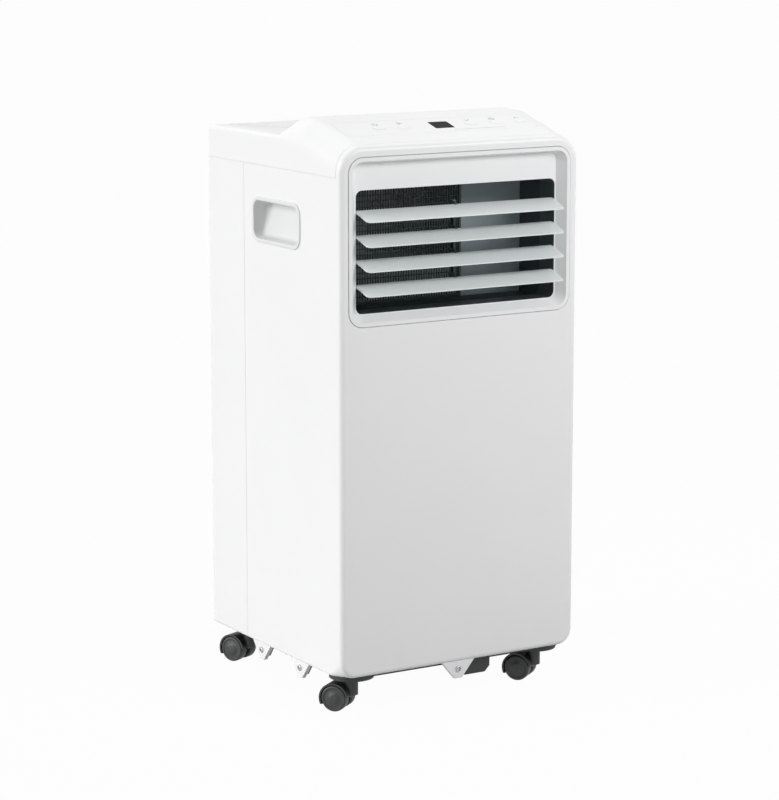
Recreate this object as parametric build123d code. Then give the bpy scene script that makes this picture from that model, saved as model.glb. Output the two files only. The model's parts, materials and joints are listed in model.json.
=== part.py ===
"""Portable air conditioner on casters, with louvres, keys and its inner works.

Millimetres. X to the right seen from the front, Y to the rear, Z up, the floor
at Z = 0. The front face is at Y_FRONT.
"""
import os
from math import atan2, cos, degrees, radians, sin

from build123d import *

# Cabinet
BODY_W = 330.0
BODY_D = 326.0
CASE_BOTTOM = 49.0
FRONT_TOP = 676.0
SEAM_DROP = 34.0
CROWN_RISE = 27.0
CROWN_FALL = 1.0
DECK_RISE = 5.0
CROWN_BACK = 94.0
CROWN_RUN = 28.0
HUMP_RUN = 26.0
TOP_CORNER = 30.0
LOW_CORNER = 24.0
CORNER_FADE = 26.0
LOW_EDGE = 3.5
DECK_EDGE = 5.0
EDGE_R = 6.0
REAR_R = 5.0
REAR_LEAN = 6.5
WALL = 2.6
SEAM = 0.5
SEAM_BACK = 232.0
RIM_D = 10.0
LIP = 9.0
TONGUE = 8.0
TONGUE_T = 1.8
SCOOP_DEEP = 9.0
SCOOP_EDGE = 18.0
SCOOP_LIP = 6.0

# Clearances
FIT = 0.3
RUN = 0.05
REVEAL = 0.8

# Air outlet
OUTLET_H = 144.0
OUTLET_R = 8.0
BEZEL_BAND = 10.5
BEZEL_SIDE = 16.0
BEZEL_UNDER = 14.5
BEZEL_OVER = 39.5
BEZEL_R = 19.5
BEZEL_LIP = 4.5
BEZEL_PROUD = 0.6
BEZEL_FLARE = 3.0
BEZEL_EDGE = 1.2
BEZEL_FLANGE = 4.0
RECESS = 10.0
FACE_LIP = 1.2
SLEEVE_T = 4.0
SLEEVE_D = 32.0
GUARD_T = 2.5
GUARD_RIB = 2.2
GUARD_COLUMNS = 17
GUARD_ROWS = 12
GUARD_EDGE = 3.0

# Louvres
LOUVRE_COUNT = 4
LOUVRE_TILT = 18.5
LOUVRE_RISE = 3.9
LOUVRE_PROUD = 15.5
LOUVRE_ROOT_R = 1.8
LOUVRE_TIP_R = 1.0
LOUVRE_CORNER = 6.0
LOUVRE_GAP = 0.8
PIVOT_R = 1.5
PIVOT_SET = 4.0
CRANK = 11.0
CRANK_R = 3.0
CRANK_T = 3.0
LINK_W = 7.0
LINK_T = 3.0

# Hand grips
GRIP_W = 112.0
GRIP_H = 49.5
GRIP_R = 13.0
GRIP_D = 17.0
GRIP_LEAN = 5.5
GRIP_DRAFT = 4.0
GRIP_RIM = 3.2
GRIP_PROUD = 1.6
GRIP_T = 2.0
GRIP_BACK = 151.5
GRIP_DROP = 65.5

# Control panel
PANEL_SPARE = 0.5
PANEL_L = 46.0
PANEL_R = 5.0
PANEL_BACK = 58.0
PANEL_FLANGE = 2.5
PANEL_FLANGE_T = 2.0
DISPLAY_X = 7.5
DISPLAY_W = 26.0
DISPLAY_L = 21.0
DISPLAY_T = 1.5
DISPLAY_LEDGE = 2.0
KEY_W = 17.0
KEY_L = 10.0
KEY_GAP = 0.3
KEY_PROUD = 0.3
KEY_FLANGE = 1.4
KEY_FLANGE_T = 1.2
KEY_TRAVEL = 0.8
KEY_SPARE = 0.2
KEY_SPREAD = (-0.2955, -0.1705, 0.1894, 0.322, 0.4545)
BOARD_T = 1.6
SWITCH_R = 1.8
SWITCH_H = 1.5

# Base pan, lugs and casters
PAN_GAP = 1.0
PAN_SHOWS = 3.5
PAN_H = 34.0
PAN_T = 2.5
PAN_R = 14.0
FRONT_BOSS_R = 27.0
REAR_BOSS_R = 15.0
BOSS_DROP = 3.5
STEM_BOSS_R = 11.0
SUMP_X = 34.0
SUMP_W = 36.0
SUMP_L = 70.0
SUMP_Z = 27.0
SUMP_CHAMFER = 7.0
LUG_W = 46.0
LUG_DROP = 21.0
LUG_T = 5.0
LUG_SPARE = 4.0
LUG_SET = 3.0
LUG_BACKS = (105.5, 201.5)
REAR_LUG_X = 70.0
SCREW_R = 2.0
SCREW_HEAD_R = 3.8
SCREW_HEAD_T = 2.2
SCREW_RISE = 9.0
CASTER_SIDE = 34.0
CASTER_END = 35.0
CASTER_TURNS = {"fl": 36.0, "fr": 36.0, "rl": 24.0, "rr": 28.0}
WHEEL_R = 16.0
WHEEL_T = 12.0
WHEEL_GAP = 0.6
WHEEL_BEVEL = 2.0
TRAIL = 17.0
WEB_T = 7.0
AXLE_R = 3.0
HOOD_GAP = 0.7
HOOD_T = 2.2
HOOD_OVER = 3.0
HOOD_UNDER = 8.0
STEM_R = 4.0
STEM_H = 22.0
SWIVEL_R = 8.0

# Rear cover
DOOR_SIDE = 39.0
DOOR_LOW = 408.0
DOOR_H = 208.0
DOOR_R = 6.0
DOOR_GAP = 1.0
BARREL_R = 3.3
DOOR_SLOT_H = 5.0
DOOR_SLOTS = 16
FILTER_T = 7.0
FILTER_BAR = 6.0
FILTER_SET = 14.0
INTAKE_SIDE = 52.0
INTAKE_LOW = 92.0
INTAKE_H = 150.0
INTAKE_ROWS = 12
INTAKE_SLOT = 6.0
COLLAR_R = 62.0
COLLAR_T = 4.0
COLLAR_FLANGE = 12.0
COLLAR_FLANGE_T = 3.0
COLLAR_IN = 8.0
EXHAUST_Z = 322.0
SPIGOT_R = 8.0
SPIGOT_BORE = 5.0
SPIGOT_OUT = 10.0
SPIGOT_SIDE = 70.0
SPIGOT_RISE = 16.0
SPIGOT_ROOM = 6.0
PLUG_HEAD_R = 7.0
PLUG_IN = 12.0
GLAND_SIDE = 27.0
GLAND_Z = 84.0
GLAND_R = 9.0
GLAND_BORE = 4.5

# Blowers and air ways
VOLUTE_BACK = 170.0
VOLUTE_D = 80.0
VOLUTE_R = 74.0
VOLUTE_T = 2.5
UPPER_STEP = 54.0
UPPER_NECK = 90.0
EXHAUST_STEP = 6.0
WHEEL_BLADES = 28
FAN_R = 62.0
FAN_EYE = 50.0
FAN_D = 58.0
FAN_PLATE = 3.0
FAN_SET = 8.0
UPPER_SIDE = 93.0
UPPER_Z = 470.0
LOWER_X = 60.0
LOWER_Z = 150.0
SHAFT_R = 4.0
MOTOR_R = 40.0
MOTOR_D = 50.0
MOTOR_HOLE_R = 12.0
DUCT_T = 2.5
DUCT_RISE = 46.0
DUCT_ROOM = 78.0

# Refrigerant circuit and electrics
COIL_SIDE = 40.0
COIL_T = 30.0
COIL_FINS = 26
COIL_END = 3.0
EVAPORATOR_H = 222.0
CONDENSER_H = 170.0
TRAY_H = 12.0
TRAY_T = 2.0
COMPRESSOR_SIDE = 73.0
COMPRESSOR_BACK = 96.0
COMPRESSOR_R = 52.0
COMPRESSOR_H = 190.0
COMPRESSOR_FOOT = 8.0
ACCUMULATOR_R = 22.0
ACCUMULATOR_GAP = 8.0
PIPE_R = 4.0
BOX_W = 118.0
BOX_H = 100.0
BOX_D = 56.0

# Places that follow from the sizes above
Y_FRONT = -BODY_D / 2
Y_REAR = BODY_D / 2
X_SIDE = BODY_W / 2
SEAM_Y = Y_FRONT + SEAM_BACK
SEAM_Z = FRONT_TOP - SEAM_DROP
CROWN_TOP = FRONT_TOP + CROWN_RISE
DECK_TOP = FRONT_TOP + DECK_RISE
GRIP_Z = SEAM_Z - GRIP_DROP
PANEL_W = BODY_W - 2 * (TOP_CORNER + PANEL_FLANGE + PANEL_SPARE)
KEY_XS = tuple(PANEL_W * share for share in KEY_SPREAD)
CASTER_X = X_SIDE - CASTER_SIDE
CASTER_Y = Y_REAR - CASTER_END
DOOR_W = BODY_W - 2 * DOOR_SIDE
INTAKE_W = BODY_W - 2 * INTAKE_SIDE
SPIGOT_X = SPIGOT_SIDE - X_SIDE
GLAND_X = X_SIDE - GLAND_SIDE
COIL_X = X_SIDE - COIL_SIDE
COMPRESSOR_X = COMPRESSOR_SIDE - X_SIDE
UPPER_X = UPPER_SIDE - X_SIDE
MOUTH_RIGHT = UPPER_X + UPPER_STEP + VOLUTE_R
BEZEL_HALF = X_SIDE - BEZEL_BAND
BEZEL_HIGH = FRONT_TOP - BEZEL_BAND
OUTLET_W = 2 * (BEZEL_HALF - BEZEL_SIDE)
OUTLET_HIGH = BEZEL_HIGH - BEZEL_OVER
OUTLET_LOW = OUTLET_HIGH - OUTLET_H
BEZEL_LOW = OUTLET_LOW - BEZEL_UNDER
PANEL_Y = Y_FRONT + RECESS
SLEEVE_END = PANEL_Y + SLEEVE_D
DUCT_WALL_Y = PANEL_Y + DUCT_ROOM
GUARD_Y = DUCT_WALL_Y - GUARD_T
LOUVRE_PITCH = OUTLET_H / (LOUVRE_COUNT + 1)
PIVOT_Y = PANEL_Y + PIVOT_SET
TIP_Y = Y_FRONT - LOUVRE_PROUD
SLOPE = degrees(atan2(CROWN_TOP - CROWN_FALL - FRONT_TOP, CROWN_BACK))
SKIN = WALL * cos(radians(SLOPE))
PANEL_MID_Z = FRONT_TOP + PANEL_BACK * (CROWN_TOP - CROWN_FALL - FRONT_TOP) / CROWN_BACK
PANEL_PLANE = Plane(
    origin=(0, Y_FRONT + PANEL_BACK, PANEL_MID_Z),
    x_dir=(1, 0, 0),
    z_dir=(0, -sin(radians(SLOPE)), cos(radians(SLOPE))),
)
PANEL_UNDER = -SKIN - PANEL_FLANGE_T
BOARD_TOP = PANEL_UNDER - KEY_FLANGE_T - KEY_TRAVEL - KEY_SPARE - SWITCH_H
PAN_Z = CASE_BOTTOM - PAN_SHOWS
BOSS_Z = PAN_Z - BOSS_DROP
LEAN_Z = SEAM_Z + TONGUE / 2
PAN_HALF = X_SIDE - LIP - PAN_GAP
PAN_FRONT = Y_FRONT + LIP + PAN_GAP
PAN_REAR = Y_REAR - LIP - PAN_GAP
PAN_FLOOR = PAN_Z + PAN_T
DOOR_Y = Y_REAR - BARREL_R
COLLAR_END = Y_REAR + LOUVRE_PROUD
VOLUTE_Y = Y_FRONT + VOLUTE_BACK
VOLUTE_END = VOLUTE_Y + VOLUTE_D
UPPER_FLOOR = UPPER_Z - VOLUTE_R - VOLUTE_T
UPPER_TOP = OUTLET_HIGH + DUCT_T
EXHAUST_HALF = COLLAR_R - EXHAUST_STEP
LOWER_NECK = 2 * EXHAUST_HALF + 2 * VOLUTE_T
LOWER_STEP = VOLUTE_R - LOWER_NECK / 2 - LOWER_X
COMPRESSOR_Y = Y_FRONT + COMPRESSOR_BACK
BOSS_TOP = BOSS_Z + STEM_H + 6
EVAPORATOR_LOW = UPPER_FLOOR + TRAY_T
CONDENSER_LOW = BOSS_TOP + 1


def block(x0, x1, y0, y1, z0, z1):
    """Box between two corners."""
    mid = Pos((x0 + x1) / 2, (y0 + y1) / 2, (z0 + z1) / 2)
    return mid * Box(x1 - x0, y1 - y0, z1 - z0)


def slab(half, low, high, corner, y0, y1, mid=0.0):
    """Upright rounded plate between two depths."""
    face = Pos(mid, (low + high) / 2) * RectangleRounded(2 * half, high - low, corner)
    return extrude(Plane.XZ.offset(-y0) * face, -(y1 - y0))


def rod(radius, x, z, y0, y1):
    """Round bar along Y."""
    return extrude(Plane.XZ.offset(-y0) * Pos(x, z) * Circle(radius), -(y1 - y0))


def post(radius, x, y, z0, z1):
    """Round bar along Z."""
    return extrude(Plane.XY.offset(z0) * Pos(x, y) * Circle(radius), z1 - z0)


def cross_bar(radius, y, z, x0, x1):
    """Round bar along X."""
    return extrude(Plane.YZ.offset(x0) * Pos(y, z) * Circle(radius), x1 - x0)


def section(back, inset, top, low_r, top_r):
    """Outline of the cabinet across its width, some way behind the front."""
    low = CASE_BOTTOM + inset
    place = Plane.XZ.offset(-(Y_FRONT + back))
    face = place * Pos(0, (low + top) / 2) * Rectangle(BODY_W - 2 * inset, top - low)
    face = fillet(face.vertices().group_by(Axis.Z)[0], low_r)
    return fillet(face.vertices().group_by(Axis.Z)[-1], top_r)


def cabinet(inset):
    """Closed body of the cabinet, made smaller all round by the inset."""
    low_edge = max(LOW_EDGE - inset, 0.5)
    deck_edge = max(DECK_EDGE - inset, 0.5)
    corner = max(TOP_CORNER - inset, 1.0)
    slope = (CROWN_TOP - CROWN_FALL - FRONT_TOP) / CROWN_BACK
    crown = CROWN_TOP - inset
    deck = DECK_TOP - inset
    crown_end = CROWN_BACK + CROWN_RUN
    rows = [
        section(inset, inset, FRONT_TOP + slope * inset - inset, LOW_CORNER - inset, corner),
        section(CORNER_FADE, inset, FRONT_TOP + slope * CORNER_FADE - inset, low_edge, corner),
        section(CROWN_BACK, inset, crown - CROWN_FALL, low_edge, corner),
        section(crown_end - inset / 2, inset, crown, low_edge, corner),
        section(crown_end + HUMP_RUN - inset / 2, inset, deck, low_edge, deck_edge),
        section(BODY_D - inset, inset, deck, low_edge, deck_edge),
    ]
    body = loft(rows, ruled=True)
    face_y = Y_FRONT + inset
    rim = body.edges().filter_by_position(Axis.Y, face_y - 0.01, face_y + 0.01)
    body = fillet(rim, max(EDGE_R - inset, 0.8))
    half = X_SIDE - inset
    plan = Pos(0, -inset) * Rectangle(2 * half, BODY_D)
    plan = fillet(plan.vertices().group_by(Axis.Y)[-1], max(REAR_R - inset, 1.0))
    room = extrude(plan, CROWN_TOP + 10) & extrude(lean_side(inset), half + 1, both=True)
    return body & room


def lean_side(inset):
    """Side view of the room that the cabinet may fill: its rear leans in above the seam."""
    rear = Y_REAR - inset
    high = CROWN_TOP + 10
    lean = REAR_LEAN * (high - LEAN_Z) / (DECK_TOP - LEAN_Z)
    points = [(Y_FRONT - 1, 0), (rear, 0), (rear, LEAN_Z), (rear - lean, high), (Y_FRONT - 1, high)]
    return Plane.YZ * Polygon(*points, align=None)


def bottom_mouth():
    """Opening left under the cabinet for the base pan."""
    high = CASE_BOTTOM + WALL + 1
    return block(-X_SIDE + LIP, X_SIDE - LIP, Y_FRONT + LIP, Y_REAR - LIP, CASE_BOTTOM - 1, high)


def lug_face(place, spare=0.0):
    """Triangular lug outline, hanging below the lower edge, made smaller by the spare."""
    half = LUG_W / 2 - spare
    low = spare - LUG_DROP
    return place * Polygon((-5, low), (5, low), (half, 1), (-half, 1), align=None)


def lug_places():
    """Planes of the outer faces of all lugs, each facing outwards, by casing."""
    front = [Plane((0, Y_FRONT + LUG_SET, CASE_BOTTOM), x_dir=(1, 0, 0), z_dir=(0, -1, 0))]
    for back in LUG_BACKS:
        y = Y_FRONT + back
        front.append(Plane((-X_SIDE + LUG_SET, y, CASE_BOTTOM), x_dir=(0, -1, 0), z_dir=(-1, 0, 0)))
        front.append(Plane((X_SIDE - LUG_SET, y, CASE_BOTTOM), x_dir=(0, 1, 0), z_dir=(1, 0, 0)))
    rear = []
    for x in (-REAR_LUG_X, REAR_LUG_X):
        rear.append(Plane((x, Y_REAR - LUG_SET, CASE_BOTTOM), x_dir=(-1, 0, 0), z_dir=(0, 1, 0)))
    return front, rear


def lugs(places):
    """Lugs of one casing with their screw holes."""
    body = []
    for place in places:
        plate = extrude(lug_face(place), -LUG_T)
        hole = extrude(place * Pos(0, -SCREW_RISE) * Circle(SCREW_R + FIT), -LUG_T)
        body.append(plate - hole)
    return body


def bezel_mouth(grow, y0, y1):
    """Rounded prism of the bezel outline, grown all round."""
    low = BEZEL_LOW - grow
    return slab(BEZEL_HALF + grow, low, BEZEL_HIGH + grow, BEZEL_R + grow, y0, y1)


def grip_mouth(grow, side):
    """Prism of a hand-grip opening through one side wall."""
    face = Pos(Y_FRONT + GRIP_BACK, GRIP_Z) * grip_plate(-grow)
    return extrude(Plane.YZ.offset(side * X_SIDE) * face, 2 * WALL, both=True)


def front_casing(shell):
    """Front and both sides in one moulding."""
    keep = block(-X_SIDE, X_SIDE, Y_FRONT, SEAM_Y - SEAM / 2, 0, SEAM_Z - SEAM / 2)
    keep += block(-X_SIDE, X_SIDE, Y_FRONT, Y_FRONT + RIM_D, SEAM_Z - SEAM, CROWN_TOP)
    body = shell & keep
    body -= bottom_mouth()
    body -= bezel_mouth(0, Y_FRONT - 1, Y_FRONT + WALL + 1)
    body -= grip_mouth(FIT, -1)
    body -= grip_mouth(FIT, 1)
    for lug in lugs(lug_places()[0]):
        body += lug
    return body


def ring_plan(inset, front):
    """Plan of the cabinet from some depth to the rear, made smaller by the inset."""
    rear = Y_REAR - inset
    face = Pos(0, (front + rear) / 2) * Rectangle(BODY_W - 2 * inset, rear - front)
    return fillet(face.vertices().group_by(Axis.Y)[-1], max(REAR_R - inset, 0.5))


def top_tongue():
    """Strip under the top cover that hides the joint from inside."""
    front = Y_FRONT + RIM_D + 3 * TONGUE
    inner = ring_plan(WALL + FIT + TONGUE_T, front - 1)
    strip = ring_plan(WALL + FIT, front) - inner
    root = ring_plan(WALL / 2, front) - inner
    body = extrude(Plane.XY.offset(SEAM_Z - TONGUE) * strip, TONGUE + 4)
    return body + extrude(Plane.XY.offset(SEAM_Z + SEAM) * root, 4 - SEAM)


def top_cover(shell):
    """Hump, crown and scooped rear deck."""
    front = Y_FRONT + RIM_D + SEAM
    keep = block(-X_SIDE, X_SIDE, front, Y_REAR, SEAM_Z + SEAM / 2, CROWN_TOP + 1)
    body = shell & keep
    body += top_tongue()
    hump_end = Y_FRONT + CROWN_BACK + CROWN_RUN + HUMP_RUN
    half = X_SIDE - SCOOP_EDGE
    scoop_rear = Y_REAR - REAR_LEAN - SCOOP_LIP
    floor = DECK_TOP - SCOOP_DEEP - WALL
    body += block(-half, half, hump_end - WALL, scoop_rear + WALL, floor, DECK_TOP - WALL / 2)
    bow = (half * half + SCOOP_DEEP * SCOOP_DEEP) / (2 * SCOOP_DEEP)
    body -= rod(bow, 0, DECK_TOP - SCOOP_DEEP + bow, hump_end, scoop_rear)
    hole = RectangleRounded(PANEL_W + 2 * FIT, PANEL_L + 2 * FIT, PANEL_R + FIT)
    body -= extrude(PANEL_PLANE * hole, 2 * WALL, both=True)
    shelf = FRONT_TOP - WALL - FIT - TONGUE_T - 1
    side = X_SIDE - TOP_CORNER
    body += block(-side, side, front, front + 4, shelf, FRONT_TOP + WALL)
    reach = front - (RIM_D - WALL - 1)
    return body + block(-side, side, reach, front + 4, shelf, shelf + TONGUE_T)


def rear_tongue(side):
    """Strip on the rear cover that reaches behind the front casing."""
    outer = X_SIDE - WALL - FIT
    low = CASE_BOTTOM + 12
    high = SEAM_Z - TONGUE - 4
    thin = block(outer - TONGUE_T, outer, SEAM_Y - TONGUE, SEAM_Y + 4, low, high)
    thick = block(outer - TONGUE_T, X_SIDE - 1, SEAM_Y + SEAM / 2, SEAM_Y + 4, low, high)
    body = thin + thick
    return body if side > 0 else mirror(body, about=Plane.YZ)


def rear_cover(shell):
    """Rear wall with the door mouth, intake slots and connections."""
    keep = block(-X_SIDE, X_SIDE, SEAM_Y + SEAM / 2, Y_REAR, 0, SEAM_Z - SEAM / 2)
    body = shell & keep
    body -= bottom_mouth()
    body += rear_tongue(1)
    body += rear_tongue(-1)
    wall_y = Y_REAR - WALL - 1
    low = DOOR_LOW - BARREL_R - DOOR_GAP
    high = DOOR_LOW + DOOR_H + DOOR_GAP
    mouth = DOOR_W / 2 + DOOR_GAP
    body -= slab(mouth, low, high, DOOR_R + DOOR_GAP, wall_y, Y_REAR + 1)
    body -= block(-mouth, mouth, wall_y, Y_REAR + 1, low, DOOR_LOW + DOOR_R)
    body -= rod(COLLAR_R + COLLAR_T + FIT, 0, EXHAUST_Z, wall_y, Y_REAR + 1)
    body -= rod(SPIGOT_R + SPIGOT_ROOM, SPIGOT_X, PAN_Z + SPIGOT_RISE, wall_y, Y_REAR + 1)
    body -= rod(GLAND_R - 2, GLAND_X, GLAND_Z, wall_y, Y_REAR + 1)
    body -= intake_slots()
    for ear in hinge_ears(mouth):
        body += ear
    body -= cross_bar(PIVOT_R + RUN, DOOR_Y, DOOR_LOW, -mouth - 5, mouth + 5)
    for lug in lugs(lug_places()[1]):
        body += lug
    return body


def intake_slots():
    """Rows of slots in front of the condenser, in three columns."""
    column = INTAKE_W / 3
    pitch = INTAKE_H / INTAKE_ROWS
    face = Sketch() + [
        place * SlotOverall(column - 8, INTAKE_SLOT)
        for place in GridLocations(column, pitch, 3, INTAKE_ROWS)
    ]
    mid = INTAKE_LOW + INTAKE_H / 2
    return extrude(Plane.XZ.offset(-Y_REAR) * Pos(0, mid) * face, 2 * WALL, both=True)


def hinge_ears(half):
    """Ears inside the rear wall that carry the pins of the filter door."""
    low = DOOR_LOW - 5
    ear = block(half, half + 5, DOOR_Y - 5, Y_REAR - WALL / 2, low, low + 10)
    return ear, mirror(ear, about=Plane.YZ)


def filter_door():
    """Slotted door over the air filter, with a round hinge edge."""
    half = DOOR_W / 2
    high = DOOR_LOW + DOOR_H
    body = block(-half, half, Y_REAR - WALL, Y_REAR, DOOR_LOW, high)
    body = fillet(body.edges().filter_by(Axis.Y).group_by(Axis.Z)[-1], DOOR_R)
    body += cross_bar(BARREL_R, DOOR_Y, DOOR_LOW, -half, half)
    reach = half + DOOR_GAP + 4
    body += cross_bar(PIVOT_R, DOOR_Y, DOOR_LOW, -reach, reach)
    column = (DOOR_W - 20) / 3
    pitch = (DOOR_H - 24) / DOOR_SLOTS
    face = Sketch() + [
        place * SlotOverall(column - 8, DOOR_SLOT_H)
        for place in GridLocations(column, pitch, 3, DOOR_SLOTS)
    ]
    mid = DOOR_LOW + DOOR_H / 2 + 2
    return body - extrude(Plane.XZ.offset(-Y_REAR) * Pos(0, mid) * face, 2 * WALL, both=True)


def air_filter():
    """Frame with cross bars and its thin net, lying against the door."""
    half = DOOR_W / 2 - FILTER_SET
    low = DOOR_LOW + FILTER_SET
    high = DOOR_LOW + DOOR_H - FILTER_SET
    y1 = Y_REAR - WALL
    y0 = y1 - FILTER_T
    frame = block(-half, half, y0, y1, low, high)
    width = (2 * half - 4 * FILTER_BAR) / 3
    height = (high - low - 4 * FILTER_BAR) / 3
    for place in GridLocations(width + FILTER_BAR, height + FILTER_BAR, 3, 3):
        x = place.position.X
        z = place.position.Y + (low + high) / 2
        frame -= block(x - width / 2, x + width / 2, y0 - 1, y1 + 1, z - height / 2, z + height / 2)
    return frame + block(-half + 1, half - 1, y0 + 2, y0 + 3, low + 1, high - 1)


def outlet_slab(grow, y0, y1):
    """Rounded prism of the outlet, grown all round."""
    low = OUTLET_LOW - grow
    return slab(OUTLET_W / 2 + grow, low, OUTLET_HIGH + grow, OUTLET_R + grow, y0, y1)


def outlet_bezel():
    """Ring and recessed face round the outlet, rebated behind for the louvre frame."""
    y0 = Y_FRONT - BEZEL_PROUD
    back = PANEL_Y + WALL
    body = bezel_mouth(-REVEAL, y0, back)
    body += bezel_mouth(BEZEL_FLANGE, Y_FRONT + WALL, Y_FRONT + 2 * WALL)
    shrink = REVEAL + BEZEL_LIP
    body -= loft([bezel_outline(shrink, y0), recess_floor(shrink + BEZEL_FLARE)], ruled=True)
    body -= outlet_slab(0, y0, back + 1)
    return body - outlet_slab(SLEEVE_T + FIT, PANEL_Y + FACE_LIP, back + 1)


def louvre_frame():
    """Dark sleeve behind the bezel that carries the louvres."""
    y0 = PANEL_Y + FACE_LIP
    body = outlet_slab(SLEEVE_T, y0, SLEEVE_END) - outlet_slab(0, y0 - 1, SLEEVE_END + 1)
    reach = OUTLET_W / 2 + SLEEVE_T + 1
    for number in range(LOUVRE_COUNT):
        body -= cross_bar(PIVOT_R + RUN, PIVOT_Y, louvre_z(number), -reach, reach)
    return body


def bezel_outline(shrink, y):
    """Inner outline of the bezel recess at one depth."""
    width = 2 * (BEZEL_HALF - shrink)
    height = BEZEL_HIGH - BEZEL_LOW - 2 * shrink
    face = RectangleRounded(width, height, BEZEL_R - shrink)
    return Plane.XZ.offset(-y) * Pos(0, (BEZEL_LOW + BEZEL_HIGH) / 2) * face


def recess_floor(shrink):
    """Flat part of the recess: close round the outlet, and tall above it."""
    half = OUTLET_W / 2 + BEZEL_EDGE
    low = OUTLET_LOW - BEZEL_EDGE
    high = BEZEL_HIGH - shrink
    face = RectangleRounded(2 * half, high - low, OUTLET_R + BEZEL_EDGE)
    return Plane.XZ.offset(-PANEL_Y) * Pos(0, (low + high) / 2) * face


def outlet_guard():
    """Finger guard in the duct, over the blower mouth and as tall as the duct."""
    left = DUCT_T + FIT - OUTLET_W / 2 - SLEEVE_T
    right = MOUTH_RIGHT - DUCT_T
    low = OUTLET_LOW - SLEEVE_T + DUCT_T + FIT
    high = UPPER_TOP - DUCT_T - FIT
    pitch_x = (right - left - 2 * GUARD_EDGE) / GUARD_COLUMNS
    pitch_z = (high - low - 2 * GUARD_EDGE) / GUARD_ROWS
    hole = Rectangle(pitch_x - GUARD_RIB, pitch_z - GUARD_RIB)
    face = Rectangle(right - left, high - low)
    face -= [place * hole for place in GridLocations(pitch_x, pitch_z, GUARD_COLUMNS, GUARD_ROWS)]
    place = Plane.XZ.offset(-GUARD_Y) * Pos((left + right) / 2, (low + high) / 2)
    return extrude(place * face, -GUARD_T)


def louvre_z(number):
    """Height of the pivot of one louvre, counted from the top."""
    return OUTLET_HIGH - (number + 1) * LOUVRE_PITCH + LOUVRE_RISE


def louvre(number):
    """One blade with its end pivots, crank and crank pin."""
    z = louvre_z(number)
    chord = (PIVOT_Y - TIP_Y - LOUVRE_TIP_R) / cos(radians(LOUVRE_TILT))
    half = OUTLET_W / 2 - LOUVRE_GAP
    corners = [(0, LOUVRE_ROOT_R), (0, -LOUVRE_ROOT_R), (-chord, -LOUVRE_TIP_R), (-chord, LOUVRE_TIP_R)]
    blade = Polygon(*corners, align=None)
    blade += Circle(LOUVRE_ROOT_R)
    blade += Pos(-chord, 0) * Circle(LOUVRE_TIP_R)
    along = (0, cos(radians(LOUVRE_TILT)), sin(radians(LOUVRE_TILT)))
    axis = Plane((0, PIVOT_Y, z), x_dir=along, z_dir=(1, 0, 0))
    body = extrude(axis * blade, half, both=True)
    reach = chord + LOUVRE_TIP_R
    back = 2 * LOUVRE_CORNER
    plan = Pos((back - reach) / 2, 0) * RectangleRounded(reach + back, 2 * half, LOUVRE_CORNER)
    flat = Plane(origin=axis.origin, x_dir=axis.x_dir, z_dir=axis.y_dir)
    body &= extrude(flat * plan, 4 * LOUVRE_ROOT_R, both=True)
    pin_end = half + LOUVRE_GAP + SLEEVE_T - 0.4
    body += extrude(axis * Circle(PIVOT_R), pin_end, both=True)
    arm = Pos(CRANK / 2, 0) * SlotCenterToCenter(CRANK, 2 * CRANK_R)
    body += extrude(axis * arm, CRANK_T / 2, both=True)
    pin = axis * Pos(CRANK, 0) * Circle(PIVOT_R)
    return body + extrude(pin, CRANK_T / 2 + FIT + LINK_T + 0.6)


def crank_pin(number):
    """Depth and height of the crank pin of one louvre."""
    y = PIVOT_Y + CRANK * cos(radians(LOUVRE_TILT))
    return y, louvre_z(number) + CRANK * sin(radians(LOUVRE_TILT))


def louvre_link():
    """Bar that ties the louvres together."""
    y, high = crank_pin(0)
    low = crank_pin(LOUVRE_COUNT - 1)[1]
    x0 = CRANK_T / 2 + FIT
    bar = Pos(y, (low + high) / 2) * Rot(0, 0, 90) * SlotCenterToCenter(high - low, LINK_W)
    body = extrude(Plane.YZ.offset(x0) * bar, LINK_T)
    for number in range(LOUVRE_COUNT):
        body -= cross_bar(PIVOT_R + RUN, y, crank_pin(number)[1], x0 - 1, x0 + LINK_T + 1)
    return body


def air_duct():
    """Duct from the upper blower to the louvre frame, wide in front and narrow behind a step."""
    body = duct_room(0) - duct_room(DUCT_T)
    low = OUTLET_LOW + DUCT_RISE + DUCT_T
    return body - block(*chimney_span(), VOLUTE_Y - 2 * DUCT_T, VOLUTE_Y + 1, low, UPPER_TOP - 2 * DUCT_T)


def duct_room(inset):
    """Room of the duct: the full outlet up to the step, then only the part over the motor."""
    half = OUTLET_W / 2 + SLEEVE_T - inset
    front = SLEEVE_END - (1 if inset else 0)
    step = DUCT_WALL_Y + DUCT_T - inset
    low = OUTLET_LOW - SLEEVE_T + inset
    rise = OUTLET_LOW + DUCT_RISE - DUCT_T + inset
    high = UPPER_TOP - inset
    wide = block(-half, half, front, step, low, high)
    return wide + block(-half, MOUTH_RIGHT - inset, front, VOLUTE_Y - inset, rise, high)


def chimney_span():
    """Left and right ends of the upper blower mouth."""
    return MOUTH_RIGHT - UPPER_NECK + DUCT_T, MOUTH_RIGHT - DUCT_T


def volute_face(x, z, step, neck, top, grow):
    """Side view of a blower housing, its neck running up to the top."""
    face = Pos(x + step / 2, z) * SlotCenterToCenter(abs(step), 2 * (VOLUTE_R + grow))
    edge = x + step + (1 if step > 0 else -1) * VOLUTE_R
    inner = edge - (1 if step > 0 else -1) * neck
    left = min(edge, inner) - grow
    right = max(edge, inner) + grow
    return face + Pos((left + right) / 2, (z + top + grow) / 2) * Rectangle(right - left, top + grow - z)


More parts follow.
